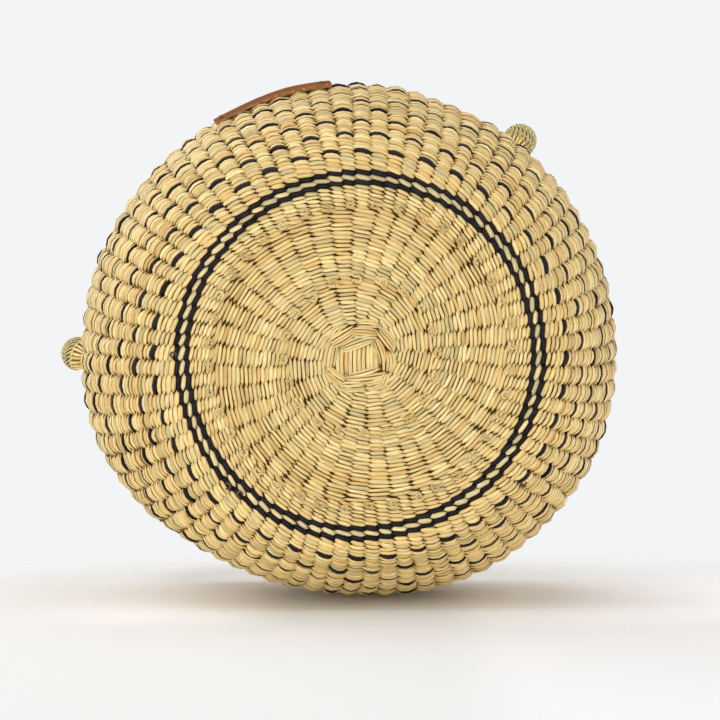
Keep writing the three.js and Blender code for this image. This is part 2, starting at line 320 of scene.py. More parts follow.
@dataclass(frozen=True)
class StrandFinish:
    """Dried grass seen from close by: fibres along the strand, and painted shade at each strand's sides and
    ends, darker and warmer where strands press together.
    """

    name: str
    # The groove and flank colours are painted shade: what a strand's sides and ends are darkened towards,
    # where shade falls between strands.
    groove_shade: Colour
    groove_shade_share: float = 0.93
    flank_shade: Colour = (0.86, 0.74, 0.46)
    flank_shade_share: float = 0.75
    fibre_dark: float = 0.62
    fibre_light: float = 1.12
    gloss: float = 0.5
    roughness: float = 0.44
    roughness_spread: float = 0.16
    bump: float = 0.8
    fibre_pace: float = 2.6
    lot_shift: tuple[float, float] = (37.0, 91.0)
    along_pace: float = 0.45
    fibre_scale: float = 2.0
    blotch_scale: float = 0.9
    relief: float = 0.4 * MM

    @cached_property
    def material(self) -> bpy.types.Material:
        """The finish as a material, which reads each strand's own attributes."""
        tree = ShaderTree(self.name)
        strand = tree.attribute("strand")["Vector"]
        lot = tree.attribute("lot")["Fac"]
        along, top, _ = tree.split(strand)
        shift = tree.combine(*(tree.product(lot, far) for far in self.lot_shift), 0.0)
        stretched = tree.vector("MULTIPLY", strand, (self.along_pace, self.fibre_pace, self.fibre_pace))
        fibre = tree.noise(tree.vector("ADD", stretched, shift), self.fibre_scale, rough=0.6)
        blotch = tree.noise(tree.vector("ADD", strand, shift), self.blotch_scale, detail=1.0)

        tone = tree.product(tree.ramp(fibre, 0.32, 0.68, self.fibre_dark, self.fibre_light),
                            tree.ramp(blotch, 0.3, 0.7, 0.94, 1.05))
        colour = tree.node("ShaderNodeVectorMath", {0: tree.attribute("tint")["Color"], "Scale": tone},
                           operation="SCALE").outputs[0]
        # Painted shade: the colour is multiplied towards the flank colour down each strand's sides, away from
        # its top.
        colour = tree.mix(tree.ramp(top, 0.3, 0.98, self.flank_shade_share, 0.0), colour, self.flank_shade, "MULTIPLY")
        # Painted shade in the grooves: the sides and ends mix towards the groove colour, which also dims
        # their shine.
        side = tree.ramp(top, -0.05, 0.7, self.groove_shade_share, 0.0)
        ends = tree.ramp(tree.maths("ABSOLUTE", along), 0.84, 1.0, 0.0, self.groove_shade_share * 0.85)
        sunk = tree.maths("MAXIMUM", side, ends)
        half_spread = self.roughness_spread / 2
        tree.set(
            Base_Color=tree.mix(sunk, colour, self.groove_shade),
            Roughness=tree.ramp(fibre, 0.3, 0.7, self.roughness + half_spread, self.roughness - half_spread),
            Specular_IOR_Level=tree.product(tree.maths("SUBTRACT", 1.0, tree.product(sunk, 0.9)), self.gloss),
        )
        tree.bump(fibre, self.bump, self.relief)
        return tree.material


# The groove colours below are painted shade for where strands press together, not the grass's own colour.
STRAW = StrandFinish("Straw", groove_shade=linear(108, 74, 30))
PALE_STRAW = StrandFinish("Pale straw", groove_shade=linear(146, 100, 40))
DYED_STRAW = StrandFinish("Dyed straw", groove_shade=linear(12, 9, 11), fibre_dark=0.6, fibre_light=1.5,
                          gloss=0.14, roughness=0.46)
GREEN_STRAW = StrandFinish("Green straw", groove_shade=linear(128, 110, 62), groove_shade_share=0.74, roughness=0.58,
                           flank_shade=(0.92, 0.88, 0.74))
GOLDEN_STRAW = StrandFinish("Golden stalks", groove_shade=linear(142, 94, 40), roughness=0.48)
CORE_STRAW = StrandFinish("Upright stalks", groove_shade=linear(66, 46, 22), gloss=0.15, roughness=0.8)
WAXED_THREAD = StrandFinish("Waxed thread", groove_shade=linear(52, 32, 18), gloss=0.15, roughness=0.75,
                            fibre_pace=5.0)


@dataclass(frozen=True)
class LeatherFinish:
    """Thick vegetable-tanned leather: pored grain on its face, and pale raw fibres on its cut edges."""

    name: str = "Label leather"
    face: Colour = linear(122, 70, 36)
    worn: Colour = linear(144, 88, 48)
    edge: Colour = linear(108, 70, 38)
    raw: Colour = linear(172, 122, 76)
    fluff: Colour = linear(214, 178, 132)
    pore_scale: float = 900.0
    blotch_scale: float = 45.0
    grain_scale: float = 700.0
    layer_scale: tuple[float, float, float] = (260.0, 2600.0, 260.0)
    gloss: float = 0.02
    bump: float = 0.35
    relief: float = 0.3 * MM

    @cached_property
    def material(self) -> bpy.types.Material:
        """The finish as a material; the attribute edge is 1 on cut edges."""
        tree = ShaderTree(self.name)
        place = tree.node("ShaderNodeTexCoord").outputs["Object"]
        cells = tree.node("ShaderNodeTexVoronoi", {"Vector": place, "Scale": self.pore_scale},
                          feature="DISTANCE_TO_EDGE").outputs["Distance"]
        blotch = tree.noise(place, self.blotch_scale, detail=4.0)
        fine = tree.noise(place, self.grain_scale, detail=2.0)
        layers = tree.noise(tree.vector("MULTIPLY", place, self.layer_scale), 1.0, detail=2.0)
        face = tree.mix(tree.ramp(blotch, 0.35, 0.7, 0.0, 0.8), self.face, self.worn)
        face = tree.mix(tree.ramp(cells, 0.0, 0.12, 0.55, 0.0), face, self.edge)
        cut = tree.mix(tree.ramp(layers, 0.35, 0.65, 0.0, 1.0), self.edge, self.raw)
        cut = tree.mix(tree.ramp(fine, 0.58, 0.7, 0.0, 0.8), cut, self.fluff)
        tree.set(Base_Color=tree.mix(tree.attribute("edge")["Fac"], face, cut),
                 Roughness=tree.ramp(fine, 0.3, 0.7, 0.75, 0.9), Specular_IOR_Level=self.gloss)
        height = tree.maths("ADD", tree.ramp(cells, 0.0, 0.1, 0.0, 1.0),
                            tree.product(tree.maths("ADD", fine, layers), 0.5))
        tree.bump(height, self.bump, self.relief)
        return tree.material


LEATHER = LeatherFinish()


def unit(vectors: np.ndarray) -> np.ndarray:
    """Vectors scaled to a length of 1."""
    return vectors / np.maximum(1e-12, np.linalg.norm(vectors, axis=-1, keepdims=True))


def eased(share: np.ndarray) -> np.ndarray:
    """A share held between 0 and 1, with a soft start and end."""
    share = np.clip(share, 0, 1)
    return share * share * (3 - 2 * share)


def turned(turn: np.ndarray, first: np.ndarray, second: np.ndarray) -> tuple[np.ndarray, np.ndarray]:
    """Directions at angles from one direction towards another, and those a quarter turn further on."""
    cos, sin = np.cos(turn)[:, None], np.sin(turn)[:, None]
    return cos * first + sin * second, -sin * first + cos * second


def running_lengths(line: np.ndarray) -> np.ndarray:
    """How far along a line each of its points lies."""
    return np.concatenate([[0], np.cumsum(np.linalg.norm(np.diff(line, axis=0), axis=1))])


def read_between(where: np.ndarray, places: np.ndarray, table: np.ndarray) -> np.ndarray:
    """Reads both columns of a table between the places of its rows."""
    return np.stack([np.interp(where, places, table[:, i]) for i in (0, 1)], -1)


@dataclass(frozen=True)
class BasketForm:
    """The wall and base that the weave follows, as one outline from the centre of the base to the rim."""

    base_radius: float = 128.67 * MM
    belly_radius: float = 193.02 * MM
    belly_height: float = 138 * MM
    top_radius: float = 170.02 * MM
    top_height: float = 240 * MM
    curve_exponent: float = 1.7
    belly_oval: float = 4.6 * MM
    oval_azimuth: float = 38 * DEGREE
    thickness: float = 6 * MM
    row_pitch: float = 3.5 * MM
    ribs: int = 80
    samples: int = 600
    rib_leans: tuple[tuple[float, float], ...] = (
        (0.015, -12.0), (0.0255, -9.0), (0.0503, -3.6), (0.1014, 0.0), (0.1187, 0.0),
    )
    lump_start: float = 8 * MM
    lump_rise: float = 90 * MM
    lump_end: float = 22 * MM
    lump_fall: float = 55 * MM
    lumps: tuple[tuple[float, float], ...] = (
        (-173.85, 7.3), (-153.85, 1.4), (-128.85, -1.6), (-103.85, -2.0), (-83.85, -0.6), (-63.85, 1.9),
        (-53.85, 3.2), (-43.85, 1.0), (-28.85, 2.4), (-3.85, 0.4), (16.15, -0.6), (26.15, 0.0), (46.15, 2.8),
        (56.15, 4.0), (66.15, 3.0), (76.15, 3.8), (84.15, 3.8), (90.15, 2.9), (100.15, 1.2), (109.15, -1.7),
        (118.15, -3.0), (126.15, -2.7), (138.15, -2.6), (150.15, -1.8), (158.15, 0.0), (166.15, 3.8),
        (176.15, 5.7),
    )

    def wall_radius(self, height: np.ndarray) -> np.ndarray:
        """The radius of the wall's outer face at a height.

        Args:
            height: the height.

        Returns:
            The radius, before any bulge.
        """
        below = np.maximum(0, 1 - height / self.belly_height) ** self.curve_exponent
        low = np.maximum(0, 1 - below) ** (1 / self.curve_exponent)
        above = np.maximum(0, height - self.belly_height) / (self.top_height - self.belly_height)
        swell = self.base_radius + (self.belly_radius - self.base_radius) * low
        return swell - (self.belly_radius - self.top_radius) * above ** 2

    @cached_property
    def outline(self) -> tuple[np.ndarray, np.ndarray, np.ndarray, np.ndarray]:
        """Running lengths from the centre, and the places, directions and outward normals there as (r, z)."""
        height = self.top_height * (np.arange(self.samples + 1) / self.samples) ** 2
        wall = np.stack([self.wall_radius(height), height], 1)
        places = np.concatenate([[[0.0, 0.0], [self.base_radius * 0.98, 0.0]], wall])
        lengths = running_lengths(places)
        along = unit(np.gradient(places, lengths, axis=0))
        normals = np.stack([along[:, 1], -along[:, 0]], 1)
        return lengths, places, along, normals

    @cached_property
    def length(self) -> float:
        """The running length from the centre of the base to the wall's top edge."""
        return float(self.outline[0][-1])

    def length_at(self, height: float) -> float:
        """The running length at a height on the wall."""
        lengths, places, _, _ = self.outline
        return float(np.interp(height, places[1:, 1], lengths[1:]))

    def read(self, length: np.ndarray) -> tuple[np.ndarray, ...]:
        """Places, directions along the outline and outward normals at running lengths."""
        lengths, *tables = self.outline
        return tuple(read_between(length, lengths, table) for table in tables)

    def radius_at(self, length: float) -> float:
        """The radius at one running length."""
        return float(self.read(np.array(length))[0][0])

    def bulge(self, radius: np.ndarray, azimuth: np.ndarray) -> np.ndarray:
        """How far the hand-made wall stands out past round."""
        share = np.maximum(0, (radius - self.base_radius) / (self.belly_radius - self.base_radius))
        return self.belly_oval * share * np.cos(2 * (azimuth - self.oval_azimuth))

    def skin(self, height: object, azimuth: object) -> np.ndarray:
        """The radius of the oval wall's outer face at a height and an angle, before its lumps."""
        wall = self.wall_radius(np.asarray(height))
        return wall + self.bulge(wall, np.asarray(azimuth))

    def lump(self, height: np.ndarray, azimuth: np.ndarray) -> np.ndarray:
        """How far the belly is pushed in or out by hand, with nothing at the base and at the rim.

        Args:
            height: the height.
            azimuth: the angle round the basket.

        Returns:
            The shift outwards.
        """
        spots, heights = zip(*self.lumps)
        swell = np.interp((np.degrees(azimuth) + 180) % 360 - 180, spots, heights, period=360) * MM
        return (swell * eased((height - self.lump_start) / self.lump_rise)
                * eased((self.top_height - self.lump_end - height) / self.lump_fall))

    def place(self, length: np.ndarray, azimuth: np.ndarray, depth: np.ndarray | float = 0.0
              ) -> tuple[np.ndarray, np.ndarray, np.ndarray, np.ndarray]:
        """Points in the weave, with the directions there.

        Args:
            length: running lengths from the centre of the base.
            azimuth: angles round the basket.
            depth: how far inside the outer face.

        Returns:
            The points, and the unit vectors round the basket, along the outline and outwards.
        """
        length, azimuth, depth = np.broadcast_arrays(length, azimuth, depth)
        spot, along, normal = self.read(length)
        spot = spot - normal * depth[..., None]
        radius = spot[..., 0] + self.bulge(spot[..., 0], azimuth) + self.lump(spot[..., 1], azimuth)
        out = np.stack([np.cos(azimuth), np.sin(azimuth), np.zeros_like(radius)], -1)
        point = out * radius[..., None] + UP * spot[..., 1:2]
        around = np.stack([-np.sin(azimuth), np.cos(azimuth), np.zeros_like(radius)], -1)
        upward = out * along[..., 0:1] + UP * along[..., 1:2]
        outward = out * normal[..., 0:1] + UP * normal[..., 1:2]
        return point, around, upward, outward

    def swirl(self, length: np.ndarray) -> np.ndarray:
        """How far the ribs of the base lean round the centre, as an angle."""
        lengths, degrees = zip(*self.rib_leans)
        return DEGREE * np.interp(length, lengths, degrees)


FORM = BasketForm()


def placed(name: str, data: bpy.types.ID) -> bpy.types.Object:
    """Puts an object into the scene."""
    made = bpy.data.objects.new(name, data)
    bpy.context.scene.collection.objects.link(made)
    return made


def mesh_piece(name: str, mesh: bpy.types.Mesh, body: Body, nodes: Sequence[str] = ()) -> None:
    """Puts a finished mesh into the scene and ties it to the frame.

    Args:
        name: the piece's name.
        mesh: its mesh, in place.
        body: the body that it rides on.
        nodes: the CAD nodes that it stands for.
    """
    piece = placed(name, mesh)
    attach(piece, body.value)
    if nodes:
        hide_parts(*nodes)
    faces = sum(len(polygon.vertices) - 2 for polygon in mesh.polygons)
    LOG.info("%s: %d triangles on %s", name, faces, body.value)


# The attributes that aren't vectors: what kind each is, and what its values are called.
ATTRIBUTE_KINDS = {"tint": ("FLOAT_COLOR", "color"), "lot": ("FLOAT", "value"), "edge": ("FLOAT", "value")}


def write_attributes(mesh: bpy.types.Mesh, **attributes: np.ndarray) -> None:
    """Stores one value of each attribute for each vertex of a mesh.

    Args:
        mesh: the mesh.
        attributes: the values by the attribute's name.
    """
    for name, values in attributes.items():
        kind, key = ATTRIBUTE_KINDS.get(name, ("FLOAT_VECTOR", "vector"))
        if kind == "FLOAT_COLOR":
            values = np.concatenate([values, np.ones((len(values), 1))], 1)
        made = mesh.attributes.new(name, kind, "POINT")
        made.data.foreach_set(key, np.ascontiguousarray(values, dtype=np.float32).ravel())


def new_mesh(name: str, points: np.ndarray, faces: Sequence[Sequence[int]], material: bpy.types.Material,
             **attributes: np.ndarray) -> bpy.types.Mesh:
    """Makes a smooth mesh of one finish.

    Args:
        name: its name.
        points: its points, in place.
        faces: the numbers of each face's points.
        material: its finish.
        attributes: what the finish reads, with one value for each point.

    Returns:
        The mesh.
    """
    mesh = bpy.data.meshes.new(name)
    mesh.from_pydata(points.tolist(), [], faces)
    write_attributes(mesh, **attributes)
    mesh.materials.append(material)
    mesh.shade_smooth()
    return mesh


def ring_quads(rings: int, sides: int) -> Iterator[tuple[int, int, int, int]]:
    """The corners of each face between rings of points that follow one another.

    Args:
        rings: how many rings.
        sides: how many points a ring has.

    Returns:
        Four points' numbers at a time.
    """
    for i in range(rings - 1):
        for j in range(sides):
            k = (j + 1) % sides
            yield i * sides + j, i * sides + k, (i + 1) * sides + k, (i + 1) * sides + j


class Strands:
    """A mesh of closed strands, each swept along a path of its own, with what their finish reads."""

    def __init__(self, seed: int) -> None:
        """Starts with no strands.

        Args:
            seed: the seed of their scatter.
        """
        self.draw = np.random.default_rng(seed)
        self.batches: list[tuple[np.ndarray, ...]] = []
        self.faces: list[list[int]] = []
        self.count = 0

    def add(self, path: np.ndarray, width: object, height: object, up: np.ndarray, tint: np.ndarray,
            sides: int = 8, shaded_ends: bool = True) -> None:
        """Sweeps an oval section along a path and closes its ends.

        Args:
            path: the points of the middle line.
            width: half the width of the section, for all points or each one.
            height: half its height along up.
            up: the direction of the section's top, for all points or each one.
            tint: the strand's colour.
            sides: how many sides the section has.
            shaded_ends: whether its ends get the finish's painted shade, as where strands press together.
        """
        count = len(path)
        width, height = (np.broadcast_to(np.asarray(size, dtype=float), count) for size in (width, height))
        tangent = unit(np.gradient(path, axis=0))
        up = np.broadcast_to(np.asarray(up, dtype=float), path.shape)
        top = unit(up - tangent * np.sum(up * tangent, axis=1, keepdims=True))
        across = np.cross(tangent, top)
        turn = TAU * np.arange(sides) / sides
        cos, sin = np.cos(turn), np.sin(turn)
        rise = cos[None, :, None] * (top * height[:, None])[:, None, :]
        reach = sin[None, :, None] * (across * width[:, None])[:, None, :]
        rings = (path[:, None, :] + rise + reach).reshape(-1, 3)
        travel = np.linspace(-1, 1, count) * (1.0 if shaded_ends else 0.8)
        strand = np.stack(np.broadcast_arrays(travel[:, None], cos[None, :], sin[None, :]), -1).reshape(-1, 3)
        ends = np.array([[-1.0, 0, 0], [1.0, 0, 0]])
        total = count * sides + 2
        self.batches.append((
            np.concatenate([rings, path[[0, -1]]]), np.concatenate([strand, ends]),
            np.broadcast_to(tint, (total, 3)), np.full(total, self.draw.random()),
        ))
        base, far = self.count, self.count + (count - 1) * sides
        self.faces.extend([base + corner for corner in quad] for quad in ring_quads(count, sides))
        for j in range(sides):
            k = (j + 1) % sides
            self.faces.append([base + total - 2, base + k, base + j])
            self.faces.append([base + total - 1, far + j, far + k])
        self.count += total

    def mesh(self, name: str, finish: StrandFinish) -> bpy.types.Mesh:
        """Builds the mesh.

        Args:
            name: the mesh's name.
            finish: what the strands are made of.

        Returns:
            The mesh, smooth, with the attributes strand, tint and lot.
        """
        points, strand, tint, lot = (np.concatenate(values) for values in zip(*self.batches))
        mesh = new_mesh(name, points, self.faces, finish.material, strand=strand, tint=tint, lot=lot)
        mesh.validate()
        return mesh


class GeometryTree(NodeTree):
    """A geometry node tree being built, with a geometry socket at both ends."""

    def __init__(self, name: str, inputs: dict[str, float | None]) -> None:
        """Starts a tree.

        Args:
            name: the tree's name.
            inputs: the first value of each input after the geometry; None is for a material.
        """
        super().__init__(bpy.data.node_groups.new(name, "GeometryNodeTree"))
        face = self.tree.interface
        for way in ("INPUT", "OUTPUT"):
            face.new_socket(name="Geometry", in_out=way, socket_type="NodeSocketGeometry")
        kinds = {int: "NodeSocketInt", float: "NodeSocketFloat", type(None): "NodeSocketMaterial"}
        for label, value in inputs.items():
            socket = face.new_socket(name=label, in_out="INPUT", socket_type=kinds[type(value)])
            if value is not None:
                socket.default_value = value
        self.entry = self.tree.nodes.new("NodeGroupInput")
        self.exit = self.tree.nodes.new("NodeGroupOutput")

    def given(self, name: str) -> bpy.types.NodeSocket:
        """One of the tree's own inputs."""
        return self.entry.outputs[name]

    def step(self, kind: str, values: dict[str, object], **settings: object) -> bpy.types.NodeSocket:
        """Adds a node and gives its first output."""
        return self.node(kind, values, **settings).outputs[0]

    def named(self, name: str) -> bpy.types.NodeSocket:
        """Reads a vector attribute by name."""
        return self.step("GeometryNodeInputNamedAttribute", {"Name": name}, data_type="FLOAT_VECTOR")

    def chance(self, kind: str, low: object, high: object, seed: object) -> bpy.types.NodeSocket:
        """A random value for each element, from a fixed seed.

        Args:
            kind: what it is.
            low: the least.
            high: the most.
            seed: the seed.

        Returns:
            The value.
        """
        made = self.node("FunctionNodeRandomValue", {"Seed": seed}, data_type=kind)
        place = {"FLOAT_VECTOR": 0, "FLOAT": 1}[kind]
        self.feed([s for s in made.inputs if s.name == "Min"][place], low)
        self.feed([s for s in made.inputs if s.name == "Max"][place], high)
        return made.outputs[place]

    @cached_property
    def identifiers(self) -> dict[str, str]:
        """The identifier of each input by its name."""
        items = self.tree.interface.items_tree
        return {item.name: item.identifier for item in items if item.in_out == "INPUT"}


@dataclass(frozen=True)
class StitchShape:
    """One stitch of a twined row: a grain of grass that rises over a rib and dives beside it."""

    sides: int = 7
    steps: int = 6
    slant: float = 0.76
    shoulder: float = 0.38
    depth: float = 0.72
    scatter: float = 0.18
    turn: float = 0.045

    def settings(self) -> dict[str, float]:
        """Its sizes by the names of the geometry tree's inputs."""
        return {name.capitalize(): value for name, value in asdict(self).items()}


OUTER_STITCH = StitchShape()
INNER_STITCH = StitchShape(sides=5, steps=4)
WRAP_STITCH = StitchShape(sides=6, steps=4, slant=1.2, scatter=0.06)


@dataclass
class TwiningTree:
    """The geometry tree that sets a stitch on every point of a rows mesh.

    Each point brings its directions (round and rise), its half sizes (size) and its colour (tint).
    """

    name: str = "Twined stitches"
    tip: float = 0.1
    dive: float = 1.02
    thin_tip: float = 0.35
    square_side: float = 0.92
    square_top: float = 0.9

    @cached_property
    def built(self) -> GeometryTree:
        """The tree, built once."""
        tree = GeometryTree(self.name, StitchShape().settings() | {"Seed": 1, "Finish": None})
        scatter, seed, turn = tree.given("Scatter"), tree.given("Seed"), tree.given("Turn")
        rotation = tree.step("FunctionNodeAxesToRotation", {
            "Primary Axis": tree.named("round"), "Secondary Axis": tree.named("rise"),
        }, primary_axis="X", secondary_axis="Y")
        least, most = (tree.combine(*[tree.maths(way, 1.0, scatter)] * 3) for way in ("SUBTRACT", "ADD"))
        vary = tree.chance("FLOAT_VECTOR", least, most, seed)
        spin = tree.chance("FLOAT", tree.product(turn, -1.0), turn, tree.maths("ADD", seed, 11.0))
        lot = tree.chance("FLOAT", 0.0, 1.0, tree.maths("ADD", seed, 29.0))
        made = tree.step("GeometryNodeInstanceOnPoints", {
            "Points": tree.given("Geometry"), "Instance": self.grain(tree), "Rotation": rotation,
            "Scale": tree.vector("MULTIPLY", tree.named("size"), vary),
        })
        made = tree.step("GeometryNodeRotateInstances", {
            "Instances": made, "Rotation": tree.combine(0.0, 0.0, spin), "Local Space": True,
        })
        made = tree.step("GeometryNodeStoreNamedAttribute", {
            "Geometry": made, "Name": "lot", "Value": lot,
        }, data_type="FLOAT", domain="INSTANCE")
        made = tree.step("GeometryNodeRealizeInstances", {"Geometry": made})
        made = tree.step("GeometryNodeSetShadeSmooth", {"Geometry": made})
        made = tree.step("GeometryNodeSetMaterial", {"Geometry": made, "Material": tree.given("Finish")})
        tree.feed(tree.exit.inputs[0], made)
        return tree

    @staticmethod
    def fuller(tree: GeometryTree, value: bpy.types.NodeSocket, power: object) -> bpy.types.NodeSocket:
        """A value between -1 and 1 pushed outwards, which squares a round section a little."""
        size = tree.maths("POWER", tree.maths("ABSOLUTE", value), power)
        return tree.product(tree.maths("SIGN", value), size)

    def grain(self, tree: GeometryTree) -> bpy.types.NodeSocket:
        """One stitch, two units long and wide, lying along X with its top towards Z.

        Args:
            tree: the tree that it is built in.

        Returns:
            Its geometry.
        """
        body = tree.node("GeometryNodeMeshCylinder", {
            "Vertices": tree.given("Sides"), "Side Segments": tree.given("Steps"),
            "Radius": 1.0, "Depth": 2.0,
        }, fill_type="TRIANGLE_FAN")
        top, across, length = tree.split(tree.node("GeometryNodeInputPosition").outputs[0])
        pace = tree.maths("DIVIDE", tree.maths("LOGARITHM", tree.given("Shoulder"), math.e), -math.log(3))
        along = self.fuller(tree, tree.product(length, -1.0), pace)
        marked = tree.step("GeometryNodeStoreNamedAttribute", {
            "Geometry": body.outputs["Mesh"], "Name": "strand", "Value": tree.combine(along, top, across),
        }, data_type="FLOAT_VECTOR", domain="POINT")
        mapped = tree.step("GeometryNodeStoreNamedAttribute", {
            "Geometry": marked, "Name": "UVMap", "Value": body.outputs["UV Map"],
        }, data_type="FLOAT2", domain="CORNER")
        left = tree.maths("DIVIDE", tree.maths("SUBTRACT", 1.0, tree.maths("ABSOLUTE", along)),
                          tree.maths("SUBTRACT", 1.0, tree.given("Shoulder")))
        taper = tree.maths("MAXIMUM", self.tip, tree.maths("MINIMUM", 1.0, left))
        y = tree.maths("SUBTRACT", tree.product(self.fuller(tree, across, self.square_side), taper),
                       tree.product(along, tree.given("Slant")))
        thick = tree.maths("ADD", self.thin_tip, tree.product(taper, 1 - self.thin_tip))
        deep = tree.product(thick, tree.given("Depth"))
        arch = tree.maths("COSINE", tree.product(along, self.dive * math.pi / 2))
        z = tree.maths("ADD", arch, tree.product(self.fuller(tree, top, self.square_top), deep))
        return tree.step("GeometryNodeSetPosition", {
            "Geometry": mapped, "Position": tree.combine(along, y, z),
        })


TWINING = TwiningTree()


@dataclass
class StitchPoints:
    """Where the stitches of a piece lie, as one point each."""

    batches: list[tuple[np.ndarray, ...]] = field(default_factory=list)

    def add(self, place: np.ndarray, around: np.ndarray, rise: np.ndarray, size: np.ndarray, tint: np.ndarray
            ) -> None:
        """Adds a batch of stitches.

        Args:
            place: their middles.
            around: their directions along the row.
            rise: their directions across the row, so that around, rise and outwards are right-handed.
            size: half their length, half their width, and how high they arch.
            tint: their colours.
        """
        self.batches.append(tuple(values.reshape(-1, 3) for values in (place, around, rise, size, tint)))

    def twine(self, name: str, shape: StitchShape, finish: StrandFinish, seed: int) -> bpy.types.Mesh:
        """Sets the stitches and gives them as one plain mesh.

        Args:
            name: the piece's name.
            shape: what one stitch looks like.
            finish: what it is made of.
            seed: the seed of its scatter.

        Returns:
            The mesh.
        """
        places, *values = (np.concatenate(column) for column in zip(*self.batches))
        points = bpy.data.meshes.new(name + "_points")
        points.from_pydata(places.tolist(), [], [])
        write_attributes(points, **dict(zip(("round", "rise", "size", "tint"), values)))
        holder = placed(name + "_holder", points)
        modifier = holder.modifiers.new("Twining", "NODES")
        modifier.node_group = TWINING.built.tree
        for label, value in (shape.settings() | {"Seed": seed, "Finish": finish.material}).items():
            modifier[TWINING.built.identifiers[label]] = value
        seen = holder.evaluated_get(bpy.context.evaluated_depsgraph_get())
        mesh = bpy.data.meshes.new_from_object(seen)
        mesh.name = name
        bpy.data.objects.remove(holder)
        bpy.data.meshes.remove(points)
        for spare in ("round", "rise", "size"):
            if spare in mesh.attributes:
                mesh.attributes.remove(mesh.attributes[spare])
        self.lay_out(mesh, len(places))
        return mesh

    @staticmethod
    def lay_out(mesh: bpy.types.Mesh, stitches: int, margin: float = 0.06) -> None:
        """Gives each stitch a square of its own on the piece's map, with a margin in it.

        Args:
            mesh: the stitches.
            stitches: how many.
            margin: the margin's share of the square.
        """
        flat = mesh.uv_layers["UVMap"].data
        corners = np.empty(len(mesh.loops) * 2, dtype=np.float32)
        flat.foreach_get("uv", corners)
        corners = corners.reshape(stitches, -1, 2)
        across = math.ceil(math.sqrt(stitches))
        cells = np.arange(stitches)
        cell = np.stack([cells % across, cells // across], 1)[:, None, :]
        laid = (cell + margin + (1 - 2 * margin) * np.clip(corners, 0, 1)) / across
        flat.foreach_set("uv", laid.astype(np.float32).ravel())


@dataclass(frozen=True)
class RowBand:
    """A band of twined rows on one count of ribs, which stands for one node."""

    node: str
    lengths: tuple[float, ...]
    ribs: int
    pitch: float
    tones: Palette = STRAW_TONES
    finish: StrandFinish = STRAW
    slot: Slot = Slot.STRAW
    proud: float = 0.0
    fatness: float = 1.0
    longer: float = 0.0
    dash_rows: tuple[int, ...] = ()


